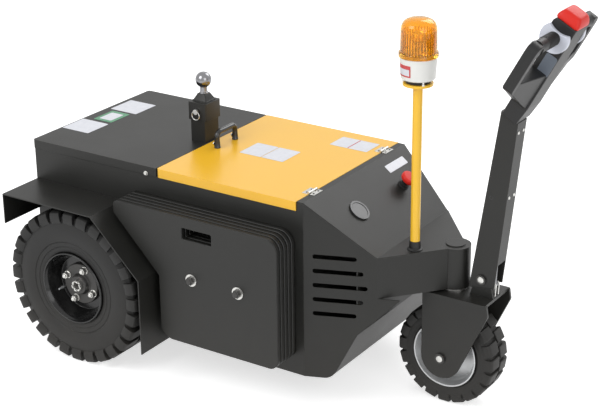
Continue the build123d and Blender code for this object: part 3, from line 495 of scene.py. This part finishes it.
def closeTree(tree, source, out, position, rotation):
    points = addNode(tree, "GeometryNodePoints", {"Count": source["Count"], "Position": position})[0]
    piece = addNode(tree, "GeometryNodeObjectInfo", {"Object": source["Piece"]})["Geometry"]
    instances = addNode(tree, "GeometryNodeInstanceOnPoints",
                        {"Points": points, "Instance": piece, "Rotation": rotation})[0]
    shifted = addNode(tree, "GeometryNodeTransform",
                      {"Geometry": instances, "Translation": source["Centre"], "Rotation": source["Turn"]})[0]
    real = addNode(tree, "GeometryNodeRealizeInstances", {"Geometry": shifted})[0]
    painted = addNode(tree, "GeometryNodeSetMaterial", {"Geometry": real, "Material": source["Material"]})[0]
    tree.links.new(painted, out[0])
    return tree


def buildRingTree():
    tree, source, out = newTree("piecesInRing", {"Radius": ("Float", 0.0), "Phase": ("Float", 0.0)})
    index = addNode(tree, "GeometryNodeInputIndex", {})[0]
    share = mathNode(tree, "DIVIDE", index, source["Count"])
    angle = mathNode(tree, "ADD", mathNode(tree, "MULTIPLY", share, 2 * math.pi), source["Phase"])
    across, up = [mathNode(tree, "MULTIPLY", mathNode(tree, operation, angle), source["Radius"])
                  for operation in ("COSINE", "SINE")]
    place = addNode(tree, "ShaderNodeCombineXYZ", {"X": across, "Z": up})[0]
    turn = addNode(tree, "ShaderNodeCombineXYZ", {"Y": mathNode(tree, "MULTIPLY", angle, -1.0)})[0]
    return closeTree(tree, source, out, place, turn)


def buildRowTree():
    tree, source, out = newTree("piecesInRow", {"Step": ("Vector", (0, 0, 0)), "Lean": ("Vector", (0, 0, 0))})
    index = addNode(tree, "GeometryNodeInputIndex", {})[0]
    place = addNode(tree, "ShaderNodeVectorMath", {0: source["Step"], "Scale": index}, operation="SCALE")[0]
    return closeTree(tree, source, out, place, source["Lean"])


ringTree = buildRingTree()
rowTree = buildRowTree()


def flatPlace(u, v, along):
    # A pattern piece stands on the origin, with its axis along +Y
    return Vector((u, along, v)) / 1000


def makePattern(shape, side=1):
    # A fastener: a hexagon with its share of the full width at each height, and turned parts
    pattern = bmesh.new()
    if "flats" in shape:
        addLoft(pattern, [[flatPlace(u * share, v * share, side * along) for u, v in hexagon(shape["flats"])]
                          for along, share in shape["heights"]])
    for profile, segments in shape["turned"]:
        addLathe(pattern, [(radius, side * along) for radius, along in profile], flatPlace, segments)
    return pattern


def growInto(mesh, tree, pattern, finish, centre, **values):
    # Runs the tree on its pattern piece and adds the result to the mesh
    patternObject = bpy.data.objects.new("patternPiece", closeMesh(pattern, "patternPiece"))
    bpy.context.collection.objects.link(patternObject)
    host = bpy.data.objects.new("patternHost", bpy.data.meshes.new("patternHost"))
    bpy.context.collection.objects.link(host)
    modifier = host.modifiers.new("pieces", "NODES")
    modifier.node_group = tree
    settings = {"Piece": patternObject, "Material": materials[finish], "Centre": tuple(centre), **values}
    for item in tree.interface.items_tree:
        if item.in_out == "INPUT" and item.name in settings:
            modifier[item.identifier] = settings[item.name]
    depsgraph = bpy.context.evaluated_depsgraph_get()
    result = bpy.data.meshes.new_from_object(host.evaluated_get(depsgraph), depsgraph=depsgraph)
    host.modifiers.clear()
    mesh.from_mesh(result)
    bpy.data.meshes.remove(result)
    bpy.data.objects.remove(host)
    bpy.data.objects.remove(patternObject)


def surfaceX(node, y, z):
    # Where a node's front face stands at this height, found by a ray from well ahead of it
    data = nodes[node].data
    tree = BVHTree.FromPolygons([vert.co for vert in data.vertices], [face.vertices for face in data.polygons])
    hit = tree.ray_cast(spot(4000, y, z), Vector((-1, 0, 0)))[0]
    return (hit.x - axleX) * 1000


# Wheels: profiles give a radius and a distance along the axle
rearTyre = {
    "x": 0, "centre": 343.0, "axleHeight": 235.0, "lugs": 28, "lugHalf": 17.0, "lugTaper": 1.6,
    "treadFrom": 223.25,
    "flank": [(220, 0), (220, 44), (217, 49), (210, 52.5), (202, 55.5), (196, 58), (186, 60.3), (170, 61.6),
              (156, 61.0), (143, 59.2), (140.5, 56.6), (138, 58.2), (128, 57.6), (125.5, 55.4), (123, 57.0),
              (114, 56.4), (109.6, 54.6), (108.6, 50), (100.6, 47)],
    "lugOutline": [(216, 4), (232.5, 4), (234.2, 6), (234.2, 50), (232.6, 56), (228.5, 60.6), (221, 62.6),
                   (205, 62.6), (197, 58.6), (201, 50), (216, 40)],
}
frontTyre = {
    "x": 1029, "axleHeight": 148.0, "lugs": 20, "lugHalf": 16.4, "lugTaper": 1.6, "treadFrom": 140.6,
    "flank": [(139, 0), (139, 36), (136, 41), (129, 44.4), (120, 47.2), (112, 47.6), (106, 46), (103, 46.8),
              (99, 45), (96.5, 42), (88.5, 38)],
    "lugOutline": [(136, 3.5), (145.6, 3.5), (147.2, 5), (147.2, 39), (145.8, 44), (142, 48.2), (134, 49.0),
                   (126, 49.0), (120, 46.4), (124, 40), (136, 36)],
}


def makeTyre(setup, name, y, body, node):
    mesh = bmesh.new()
    x, height = setup["x"], setup["axleHeight"]
    section = setup["flank"] + [(radius, -along) for radius, along in setup["flank"][:0:-1]]
    addLathe(mesh, section, lambda u, v, along: spot(x + u, y + along, height + v), segments=96, looped=True)
    half, taper = setup["lugHalf"], setup["lugTaper"]
    for side, phase in ((-1, 0.0), (1, math.pi / setup["lugs"])):
        rings = []
        for across, drop in ((-half, taper), (taper - half, 0.0), (half - taper, 0.0), (half, taper)):
            rings.append([flatPlace(radius - (drop if radius > setup["treadFrom"] else 0), across, side * along)
                          for radius, along in setup["lugOutline"]])
        lug = bmesh.new()
        addLoft(lug, rings)
        growInto(mesh, ringTree, lug, "tyre_black", spot(x, y, height), Count=setup["lugs"],
                 Phase=phase - math.pi / 2)
    finishPiece(mesh, name, "tyre_black", body, stands=(node,), sharp=30)


rearHub = {
    "barrel": [(0, 140), (17.4, 140), (17.4, 312), (78, 314), (78, 346.6), (20, 346.6), (20, 355), (0, 355)],
    "collar": [(11.6, 370), (16, 370), (16, 385), (11.6, 385)], "collarTop": 385.0,
    "tooth": [(11.8, -4.4), (15.4, -5.0), (15.8, 0), (15.4, 5.0), (11.8, 4.4)],
    "toothSpan": (-0.5, 3.5), "teeth": 6, "toothPhase": 0.3,
    "nut": {"flats": 18.0, "heights": [(0.0, 1.0), (11.5, 1.0), (14.0, 0.86)],
            "turned": [([(6, 0), (6, 18), (4.6, 19.5)], 14), ([(11.5, 0), (11.5, 2.0)], 20)]},
    "nuts": 4, "nutCircle": 50.8, "nutPhase": 68.0, "plateTop": 366.0,
    "boss": [(0, 355.2), (62, 355.2), (62, 364), (60, 366), (33, 366), (30, 369), (29, 375), (26, 378),
             (16.5, 378), (16.5, 374), (0, 374)],
    "valve": [(0, 352), (4.5, 352), (4.2, 362), (3.2, 364), (3.2, 374), (0, 374)],
    "valveCircle": 86.0, "valveTurn": 203.0,
    "rim": [(20.5, 4), (82, 4), (96, 12), (96, -46), (104, -54), (104, -60), (108, -60), (108, -53), (100, -46),
            (100, 46), (108, 53), (109, 60), (107.5, 62.5), (104.5, 62.5), (103, 59), (101, 56), (96, 46),
            (96, 38), (82, 12), (20.5, 12)],
}


def makeRearHub(setup, side, label):
    body = "rear_wheel_" + label

    def place(u, v, along):
        return spot(u, side * along, rearTyre["axleHeight"] + v)

    mesh = bmesh.new()
    addLathe(mesh, setup["barrel"], place, segments=64)
    addLathe(mesh, setup["collar"], place, segments=40, looped=True)
    tooth = bmesh.new()
    addPrism(tooth, setup["tooth"], flatPlace, *[side * along for along in setup["toothSpan"]])
    growInto(mesh, ringTree, tooth, "hub_steel", place(0, 0, setup["collarTop"]), Count=setup["teeth"],
             Phase=setup["toothPhase"])
    growInto(mesh, ringTree, makePattern(setup["nut"], side), "hub_steel", place(0, 0, setup["plateTop"]),
             Count=setup["nuts"], Radius=setup["nutCircle"] / 1000, Phase=math.radians(setup["nutPhase"]))
    finishPiece(mesh, "rearHub_" + label, "hub_steel", body, stands=("rear_hub_" + label,))
    turnPiece(setup["boss"], place, "rearBoss_" + label, "nut_dark", body, slotName="hub_steel")
    [(across, up)] = arcPoints((0, 0), setup["valveCircle"], [setup["valveTurn"]])
    turnPiece(setup["valve"], lambda u, v, along: place(across + u, up + v, along), "valveStem_" + label,
              "rim_silver", body, segments=14)
    turnPiece(setup["rim"], lambda u, v, along: place(u, v, rearTyre["centre"] + along), "rearRim_" + label,
              "rim_black", body, segments=96, looped=True, stands=("rear_rim_" + label,))


for sideSign, sideName in ((1, "left"), (-1, "right")):
    makeTyre(rearTyre, "rearTreadTyre_" + sideName, sideSign * rearTyre["centre"], "rear_wheel_" + sideName,
             "rear_tyre_" + sideName)
    makeRearHub(rearHub, sideSign, sideName)
makeTyre(frontTyre, "frontTreadTyre", 0, "front_wheel", "front_tyre")
print("wheels made")

# Tiller head, drawn in its own frame: n to the front, w up along the head
headFrame = {"x": 1187.6, "z": 863.0, "lean": 29.0}
headLean = math.radians(headFrame["lean"])


def headSpot(n, w, y):
    return spot(headFrame["x"] + n * math.cos(headLean) + w * math.sin(headLean), y,
                headFrame["z"] - n * math.sin(headLean) + w * math.cos(headLean))


tillerHead = {
    "body": [(-21, 0, 4), (26, 0, 4), (31, 57, 14), (29, 309, 3), (-37, 309, 14), (-38, 232, 14), (-21, 216)],
    "halfWidth": 41.0, "bevel": 7.0,
    "rail": [(161, 126), (170, 131.4), (185, 142, 14), (185, 281, 22), (150, 281, 4), (150, 257), (161, 246)],
    "railSpan": (-21, 9),
    "web": [(38, 52), (164, 128.5), (164, 172), (158, 166), (38, 166)],
    "webBack": -20.5, "webFront": 8.5, "webSwell": 18, "webEnd": 164, "webRun": 123,
    "gripAxis": (-7, 265),
    "grip": [(17, 40), (17, 54), (15.8, 55), (15.8, 108), (17, 109), (17, 138), (19, 151)],
    "rib": [(15, -1.9), (17, -1.9), (18.4, -1.1), (18.4, 1.1), (17, 1.9), (15, 1.9)],
    "ribs": 9, "ribFrom": 58, "ribPitch": 6.2,
    "reflectionPanel": [(-5, 160, 6), (29, 160, 6), (28.5, 220, 6), (-5, 220, 6)], "reflectionPanelSpan": (40, 42),
    "paddleRadius": 40.0, "paddleSpan": (41.3, 53.3), "notchRadius": 58.0, "notchUp": 76.0,
}


def gripPlace(setup, side):
    n, w = setup["gripAxis"]
    return lambda u, v, along: headSpot(n + u, w + v, side * along)


def makeTillerHead(setup):
    def webFront(y):
        # The web grows thicker from the rail towards the middle
        share = (setup["webEnd"] - y) / setup["webRun"]
        return setup["webFront"] + setup["webSwell"] * min(max(share, 0), 1)

    mesh = bmesh.new()
    addPrism(mesh, rounded(setup["body"]), headSpot, -setup["halfWidth"], setup["halfWidth"])
    web = rounded(setup["web"])
    for side in (-1, 1):
        addPrism(mesh, rounded(setup["rail"]), lambda u, v, along: headSpot(along, v, side * u),
                 *setup["railSpan"])
        addLoft(mesh, [[headSpot(setup["webBack"], v, side * u) for u, v in web],
                       [headSpot(webFront(u), v, side * u) for u, v in web]])
    finishPiece(mesh, "tillerHeadShell", "plastic_black", "tiller", stands=("tiller_head",),
                bevel=setup["bevel"])
    grips = bmesh.new()
    for side in (-1, 1):
        place = gripPlace(setup, side)
        addLathe(grips, setup["grip"], place, segments=40)
        rib = bmesh.new()
        addLathe(rib, setup["rib"], flatPlace, segments=32, looped=True)
        growInto(grips, rowTree, rib, "plastic_black", place(0, 0, setup["ribFrom"]), Count=setup["ribs"],
                 Step=(0.0, side * setup["ribPitch"] / 1000, 0.0))
    finishPiece(grips, "tillerGrips", "plastic_black", "tiller")
    # Thin side panels whose blue-grey is partly a painted sky reflection on the head's sides
    reflectionPanels = bmesh.new()
    for side in (-1, 1):
        addPrism(reflectionPanels, rounded(setup["reflectionPanel"]), headSpot, *[side * y for y in setup["reflectionPanelSpan"]])
    finishPiece(reflectionPanels, "headSidePanels", "panel_reflection_grey", "tiller", "plastic_black", bevel=0.6)


def makePaddles(setup):
    # Discs whose top is cut by a larger circle
    outline = []
    for u, v in arcPoints((0, 0), setup["paddleRadius"], range(-90, 270, 5)):
        if math.hypot(u, v - setup["notchUp"]) < setup["notchRadius"]:
            v = setup["notchUp"] - math.sqrt(setup["notchRadius"] ** 2 - u ** 2)
        outline.append((u, v))
    mesh = bmesh.new()
    for side in (-1, 1):
        addPrism(mesh, outline, gripPlace(setup, side), *setup["paddleSpan"])
    finishPiece(mesh, "throttlePaddles", "paddle_grey", "tiller", stands=("throttle_paddles",), bevel=1.6)


bellyButton = {"low": (-37, -37), "high": (29, 37), "corner": 9,
               "steps": [(306, 2.5), (309, 0.0), (316, 0.0), (325, 3.5), (332, 7.5), (335, 10.5), (336, 14.0)]}


def makeBellyButton(setup):
    rings = []
    for w, inset in setup["steps"]:
        outline = rectangle([edge + inset for edge in setup["low"]], [edge - inset for edge in setup["high"]],
                            setup["corner"])
        rings.append([headSpot(n, w, y) for n, y in outline])
    mesh = bmesh.new()
    addLoft(mesh, rings)
    finishPiece(mesh, "bellyButton", "button_red", "tiller", stands=("belly_button",), sharp=50)


tillerFixings = {
    "rivet": {"turned": [([(0, -1.0), (4.6, -1.0), (4.6, 0.4), (3.8, 1.7), (2.0, 2.4), (0, 2.6)], 14)]},
    "rivetHeights": (821, 637, 437), "rivetGauge": 28.6,
    "plug": {"x": 1143.5, "z": 632,
             "profile": [(0, 25.5), (5.0, 25.5), (5.4, 26.2), (4.4, 26.3), (4.2, 25.9), (0, 25.9)]},
}


def makeRivets(setup):
    mesh = bmesh.new()
    half = setup["rivetGauge"] / 2
    for z in setup["rivetHeights"]:
        face = surfaceX("tiller_arm", half, z)
        growInto(mesh, rowTree, makePattern(setup["rivet"]), "hub_steel", spot(face, -half, z), Count=2,
                 Step=(0.0, setup["rivetGauge"] / 1000, 0.0), Lean=(0.0, 0.0, -math.pi / 2))
    finishPiece(mesh, "tillerRivets", "hub_steel", "tiller")
    turnPair(setup["plug"], "tillerHolePlugs", "gauge_grey", "tiller", segments=20)


makeTillerHead(tillerHead)
makePaddles(tillerHead)
makeBellyButton(bellyButton)
makeRivets(tillerFixings)
print("tiller made")

# Beacon: profiles give a radius and a height above the floor
beacon = {
    "x": 953.0, "y": -90.6,
    "pole": [(0, 462), (13, 462), (13, 929), (40.5, 929), (40.5, 936), (0, 936)],
    "collar": [(12.6, 464.6), (21, 464.6), (21, 467), (16, 470), (15.5, 488), (14.4, 490), (12.6, 490)],
    "seal": [(0, 935.5), (33, 935.5), (33, 948), (0, 948)],
    "screw": {"turned": [([(4.5, 0), (4.5, 4), (3.0, 4), (3.0, 10.8)], 12)]},
    "screws": 3, "screwCircle": 37.0, "screwPhase": 40.0, "screwFoot": 936,
    "base": [(0, 947), (43.5, 947), (46, 949.5), (47, 975), (48.2, 992), (49.2, 1004), (49.2, 1006.4),
             (0, 1006.4)],
    "labels": {
        "beaconLabel": {"heights": (959.0, 990.0), "turns": (-146, -85), "lift": 0.3, "finish": "label_red"},
        "beaconLabelCentre": {"heights": (963.0, 980.0), "turns": (-142, -89), "lift": 0.6,
                              "finish": "label_white"},
    },
    "labelBack": 45.0, "labelFace": 46.3, "labelStep": 4, "flareFrom": 949, "flare": 0.05,
    "lens": [(44, 1006.6), (52, 1006.6), (52, 1017), (50.5, 1019), (48.4, 1019), (48.0, 1050), (47.2, 1078),
             (45.6, 1087), (42, 1095), (36, 1101), (27, 1105.2), (14, 1107.6), (0, 1108), (0, 1105.4),
             (13, 1105), (25.6, 1102.6), (34, 1098.8), (39.6, 1093.4), (43.0, 1086), (44.4, 1078),
             (45.2, 1050), (45.4, 1019)],
    "lensRib": [(43.4, -0.7), (45.3, -1.1), (45.3, 1.1), (43.4, 0.7)], "ribs": 36, "ribFoot": 1014,
    "ribHeight": 60,
    "bulb": [(0, 1006.6), (30, 1006.6), (31, 1010), (14, 1013), (12, 1016), (12, 1040), (19, 1045), (20, 1058),
             (15, 1068), (7, 1073), (0, 1074)],
}


def beaconPlace(u, v, along):
    return spot(beacon["x"] + u, beacon["y"] + v, along)


def makeBeaconLabels(setup):
    # Curved patches that follow the flare of the base
    for name, label in setup["labels"].items():
        low, high = label["heights"]
        corners = ((low, setup["labelBack"]), (low, setup["labelFace"]), (high, setup["labelFace"]),
                   (high, setup["labelBack"]))
        rings = []
        for turn in range(*label["turns"], setup["labelStep"]):
            ring = []
            for z, radius in corners:
                reach = radius + label["lift"] + (z - setup["flareFrom"]) * setup["flare"]
                [(u, v)] = arcPoints((0, 0), reach, [turn])
                ring.append(beaconPlace(u, v, z))
            rings.append(ring)
        mesh = bmesh.new()
        addLoft(mesh, rings)
        finishPiece(mesh, name, label["finish"], "chassis", "beacon_white")


def makeBeacon(setup):
    upright = (math.pi / 2, 0.0, 0.0)
    turnPiece(setup["pole"], beaconPlace, "beaconPole", "pole_yellow", "chassis", segments=56,
              stands=("beacon_pole",), bevel=0.8)
    collar = bmesh.new()
    addLathe(collar, setup["collar"], beaconPlace, segments=40, looped=True)
    addLathe(collar, setup["seal"], beaconPlace)
    finishPiece(collar, "beaconCollarAndSeal", "plastic_black", "chassis")
    screws = bmesh.new()
    growInto(screws, ringTree, makePattern(setup["screw"]), "hub_steel", beaconPlace(0, 0, setup["screwFoot"]),
             Count=setup["screws"], Radius=setup["screwCircle"] / 1000, Phase=math.radians(setup["screwPhase"]),
             Turn=upright)
    finishPiece(screws, "beaconScrews", "hub_steel", "chassis")
    turnPiece(setup["base"], beaconPlace, "beaconBase", "beacon_white", "chassis", segments=64,
              stands=("beacon_base",))
    makeBeaconLabels(setup)
    lens = bmesh.new()
    addLathe(lens, setup["lens"], beaconPlace, segments=72, looped=True)
    rib = bmesh.new()
    addPrism(rib, setup["lensRib"], flatPlace, 0, setup["ribHeight"])
    growInto(lens, ringTree, rib, "lens_amber", beaconPlace(0, 0, setup["ribFoot"]), Count=setup["ribs"],
             Turn=upright)
    finishPiece(lens, "beaconLens", "lens_amber", "chassis", stands=("beacon_lens",))
    turnPiece(setup["bulb"], beaconPlace, "beaconBulb", "bulb_silver", "chassis", segments=40,
              stands=("beacon_bulb",), sharp=50)


makeBeacon(beacon)
print("beacon made")

# Hitch, handle and controls, on the deck and the slope of the nose
deckTop = 607.7
hitch = {
    "x": 192.0, "halfX": 32.0, "halfY": 36.0, "bottom": 674.0, "top": 728.0, "corner": 4,
    "crown": [(727, 25), (731, 25), (731.2, 23.5), (741, 18), (748, 14.5), (750, 13)], "crownCorner": 3,
    "neck": [(0, 748), (13, 748), (13, 752.5), (11, 753.5), (10.6, 768)],
    "ballZ": 790.0, "ballRadius": 23.5, "ballTurns": range(-63, 64, 9), "flatRadius": 7.5, "flatHeight": 22.0,
}


def makeHitch(setup):
    x = setup["x"]
    mesh = bmesh.new()
    addBlock(mesh, (x - setup["halfX"], -setup["halfY"], setup["bottom"]),
             (x + setup["halfX"], setup["halfY"], setup["top"]), setup["corner"])
    addLoft(mesh, [[spot(x + u, v, z) for u, v in rectangle((-half, -half), (half, half), setup["crownCorner"])]
                   for z, half in setup["crown"]])
    finishPiece(mesh, "hitchSleeve", "chassis_black", "chassis", stands=("hitch_sleeve",), bevel=1.8)
    flatTop = setup["ballZ"] + setup["flatHeight"]
    profile = [*setup["neck"], *arcPoints((0, setup["ballZ"]), setup["ballRadius"], setup["ballTurns"]),
               (setup["flatRadius"], flatTop), (0, flatTop)]
    turnPiece(profile, lambda u, v, along: spot(x + u, v, along), "towBall", "ball_chrome", "chassis",
              segments=56, stands=("tow_ball",))


lidHandle = {
    "x": 268.0, "halfSpan": 44.0, "top": 654.0, "radius": 7.6, "corner": 15,
    "foot": [(0, 0.2), (9.5, 0.2), (9.5, 1.8), (9, 2.8), (8, 21), (7.6, 24), (0, 24)],
    "bolt": {"flats": 8.5, "heights": [(0, 1), (3.5, 1)], "turned": [([(6.2, -0.4), (6.2, 0.6)], 18)]},
    "boltBack": 9.0, "boltZ": 619,
}


def makeHandle(setup):
    mesh = bmesh.new()
    x, half, corner = setup["x"], setup["halfSpan"], setup["corner"]
    path = rounded([(-half, deckTop), (-half, setup["top"], corner), (half, setup["top"], corner),
                    (half, deckTop)], steps=8)
    addTube(mesh, path, setup["radius"], lambda u, v, along: spot(x + along, u, v))
    for side in (-1, 1):
        addLathe(mesh, setup["foot"], lambda u, v, along: spot(x + u, side * half + v, deckTop + along),
                 segments=28)
    finishPiece(mesh, "lidHandle", "handle_gloss", "lid_panel", "plastic_black", ("lid_handle",), sharp=50)
    bolts = bmesh.new()
    growInto(bolts, rowTree, makePattern(setup["bolt"]), "hub_steel",
             spot(x - setup["boltBack"], -half, setup["boltZ"]), Count=2, Step=(0.0, 2 * half / 1000, 0.0),
             Lean=(0.0, 0.0, math.pi / 2))
    finishPiece(bolts, "handleBolts", "hub_steel", "lid_panel")


slope = {"x": 712.0, "z": deckTop, "endX": 896.6, "endZ": 465.0}
slopeAngle = math.atan2(slope["z"] - slope["endZ"], slope["endX"] - slope["x"])


def slopePlace(x, y):
    z = slope["z"] - (x - slope["x"]) * math.tan(slopeAngle)

    def place(u, v, along):
        return spot(x + u * math.cos(slopeAngle) + along * math.sin(slopeAngle), y + v,
                    z - u * math.sin(slopeAngle) + along * math.cos(slopeAngle))
    return place


# Heights above the slope
controls = {
    "stop": (793.0, 122.0), "gauge": (790.0, -112.0),
    "collar": [(0, -0.2), (17, -0.2), (17, 2.5), (15, 3.5), (15, 10), (11.2, 10.5), (11.2, 25), (0, 25)],
    "head": [(0, 23.5), (20, 23.5), *arcPoints((18.5, 29), 5, (-60, -30, 0)), (23.5, 33),
             *arcPoints((17.5, 33.5), 6, (15, 35, 55, 75, 90)), (8, 39.8), (0, 39.8)],
    "face": [(0, 2.2), (24.6, 2.2), (24.6, 2.9), (23.8, 3.3), (0, 3.6)],
}


def makeControls(setup):
    place = slopePlace(*setup["stop"])
    turnPiece(setup["collar"], place, "stopCollar", "plastic_black", "chassis", segments=40)
    turnPiece(setup["head"], place, "stopHead", "button_red", "chassis", segments=44,
              stands=("emergency_stop",), sharp=50)
    turnPiece(setup["face"], slopePlace(*setup["gauge"]), "gaugeFace", "gauge_face", "chassis",
              slotName="gauge_grey")


makeHitch(hitch)
makeHandle(lidHandle)
makeControls(controls)
print("deck fittings made")

# Blank labels: plates seen from above, and one on the slope
labelSetup = {"gap": 0.1, "thickness": 0.35, "corner": 4.0,
              "slots": {"chassis": "beacon_white", "lid_panel": "lid_yellow"}}
labels = {
    "deckLabelA": {"low": (-231, -148), "high": (-131, -52), "body": "chassis"},
    "deckLabelB": {"low": (-203, -37), "high": (-134, 53), "finish": "label_green", "body": "chassis"},
    "deckLabelBCentre": {"low": (-192, -24), "high": (-146, 38), "body": "chassis", "lift": 0.35},
    "deckLabelC": {"low": (-220, 64), "high": (-120, 164), "body": "chassis"},
    "lidLabelA": {"low": (344, -43), "high": (418, 52), "body": "lid_panel"},
    "lidLabelB": {"low": (420, -43), "high": (494, 52), "body": "lid_panel"},
    "lidLabelC": {"low": (528, 151), "high": (654, 228), "body": "lid_panel"},
    "lidLabelCLine": {"low": (588, 153), "high": (591, 226), "finish": "label_red", "body": "lid_panel",
                      "lift": 0.35},
}
slopeLabel = {"at": (744, 167.5), "low": (-13, -50), "high": (13, 50), "corner": 3, "span": (0.1, 0.5)}


def makeLabel(setup, name, label):
    foot = deckTop + setup["gap"] + label.get("lift", 0.0)
    width = label["high"][0] - label["low"][0]
    mesh = bmesh.new()
    addBlock(mesh, (*label["low"], foot), (*label["high"], foot + setup["thickness"]),
             min(setup["corner"], width / 3))
    finishPiece(mesh, name, label.get("finish", "label_white"), label["body"], setup["slots"][label["body"]])


def makeSlopeLabel(setup):
    mesh = bmesh.new()
    addPrism(mesh, rectangle(setup["low"], setup["high"], setup["corner"]), slopePlace(*setup["at"]),
             *setup["span"])
    finishPiece(mesh, "slopeLabel", "label_white", "chassis", "beacon_white")


for labelName, label in labels.items():
    makeLabel(labelSetup, labelName, label)
makeSlopeLabel(slopeLabel)

# Small fixings of the body
fixings = {
    "deckBolt": {"flats": 9, "heights": [(1.0, 1), (5.0, 1)], "turned": [([(6.5, 0), (6.5, 1.2)], 18)]},
    "deckBoltAt": (186.0, 272.8, 587.0),
    "studNut": {"flats": 21.0, "heights": [(0, 1.0), (9.4, 1.0), (11.0, 0.88)],
                "turned": [([(9, 9), (9, 12.6), (7.6, 13.8), (0, 14.2)], 20)]},
    "studNutAt": (400.0, 362.4, 342.0), "studStep": 157.0,
    "hingeScrew": {"turned": [([(0, -0.2), (3.0, -0.2), (3.0, 0.5), (2.0, 1.1), (0, 1.2)], 14)]},
    "hingeY": 190.0, "hingeTop": 609.7, "hingeScrewStep": 24.0,
    "leaves": {"lidHingeScrews": (680.0, "lid_panel"), "noseHingeScrews": (701.5, "chassis")},
    "axleCap": {"x": 1029, "z": 148, "profile": [(0, 78), (9.5, 78), (9.5, 80), (8, 81), (0, 81)]},
    "pivotCap": {"x": 1123, "z": 390, "profile": [(0, 31), (9.5, 31), (9.5, 32.4), (8, 33.2), (0, 33.2)]},
}


def makeFixings(setup):
    deckBolts = bmesh.new()
    darkNuts = bmesh.new()
    for side in (-1, 1):
        x, y, z = setup["deckBoltAt"]
        growInto(deckBolts, rowTree, makePattern(setup["deckBolt"], side), "hub_steel", spot(x, side * y, z),
                 Count=1)
        x, y, z = setup["studNutAt"]
        growInto(darkNuts, rowTree, makePattern(setup["studNut"], side), "nut_dark", spot(x, side * y, z),
                 Count=2, Step=(setup["studStep"] / 1000, 0.0, 0.0))
    finishPiece(deckBolts, "deckSideBolts", "hub_steel", "chassis")
    finishPiece(darkNuts, "ballastNuts", "nut_dark", "chassis", "hub_steel")
    step = setup["hingeScrewStep"]
    for name, (x, body) in setup["leaves"].items():
        screws = bmesh.new()
        for side in (-1, 1):
            growInto(screws, rowTree, makePattern(setup["hingeScrew"]), "nut_dark",
                     spot(x, side * setup["hingeY"] - step / 2, setup["hingeTop"]), Count=2,
                     Step=(0.0, step / 1000, 0.0), Lean=(math.pi / 2, 0.0, 0.0))
        finishPiece(screws, name, "nut_dark", body, "hub_steel")
    turnPair(setup["axleCap"], "frontAxleCaps", "hub_steel", "fork", segments=32)
    turnPair(setup["pivotCap"], "tillerPivotCaps", "hub_steel", "fork", segments=32)


makeFixings(fixings)
print("labels and fixings made")

# Floor and light
stageSetup = {"floorSize": 60.0, "skyStrength": 0.60, "floorColor": (0.80, 0.80, 0.80), "floorRoughness": 0.9,
              "floorLift": 0.62}


def seenDirectly(tree):
    # White for the camera and in reflections, with no light of its own on the machine
    path = addNode(tree, "ShaderNodeLightPath", {})
    mirrored = mathNode(tree, "MAXIMUM", path["Is Glossy Ray"], path["Is Transmission Ray"])
    return mathNode(tree, "MAXIMUM", path["Is Camera Ray"], mirrored)


def addStage(setup):
    mesh = bpy.data.meshes.new("studioFloor")
    half = setup["floorSize"] / 2
    corners = [(-half, -half, 0), (half, -half, 0), (half, half, 0), (-half, half, 0)]
    mesh.from_pydata(corners, [], [(0, 1, 2, 3)])
    floor = bpy.data.objects.new("studioFloor", mesh)
    bpy.context.collection.objects.link(floor)
    material = bpy.data.materials.new("paleFloor")
    material.use_nodes = True
    tree = material.node_tree
    shader = tree.nodes["Principled BSDF"]
    shader.inputs["Base Color"].default_value = (*setup["floorColor"], 1)
    shader.inputs["Roughness"].default_value = setup["floorRoughness"]
    shader.inputs["Emission Color"].default_value = (1, 1, 1, 1)
    lift = mathNode(tree, "MULTIPLY", seenDirectly(tree), setup["floorLift"])
    tree.links.new(lift, shader.inputs["Emission Strength"])
    mesh.materials.append(material)


def addWorld(setup):
    world = bpy.data.worlds.new("studioWorld")
    bpy.context.scene.world = world
    world.use_nodes = True
    tree = world.node_tree
    background = tree.nodes["Background"]
    background.inputs["Color"].default_value = (1, 1, 1, 1)
    extra = mathNode(tree, "MULTIPLY", seenDirectly(tree), 1.0 - setup["skyStrength"])
    tree.links.new(mathNode(tree, "ADD", extra, setup["skyStrength"]), background.inputs["Strength"])


def addLamp(name, setup):
    data = bpy.data.lights.new(name, "AREA")
    data.size = setup["size"]
    data.energy = setup["power"]
    lamp = bpy.data.objects.new(name, data)
    direction = (Vector(setup["aim"]) - Vector(setup["place"])).normalized()
    turn = direction.to_track_quat("-Z", "Y").to_matrix().to_4x4()
    lamp.matrix_world = Matrix.Translation(setup["place"]) @ turn
    bpy.context.collection.objects.link(lamp)


lamps = {
    "keyLamp": {"place": (-1.6, -3.4, 3.6), "aim": (0, 0, 0.4), "size": 2.6, "power": 85.0},
    "fillLamp": {"place": (3.6, -2.2, 2.2), "aim": (0.2, 0, 0.4), "size": 2.8, "power": 42.0},
    "backLamp": {"place": (0.4, 3.2, 3.4), "aim": (0, 0, 0.4), "size": 2.4, "power": 60.0},
}
addStage(stageSetup)
addWorld(stageSetup)
for lampName, lamp in lamps.items():
    addLamp(lampName, lamp)
bpy.context.scene.view_settings.view_transform = "Standard"
print("stage lit")
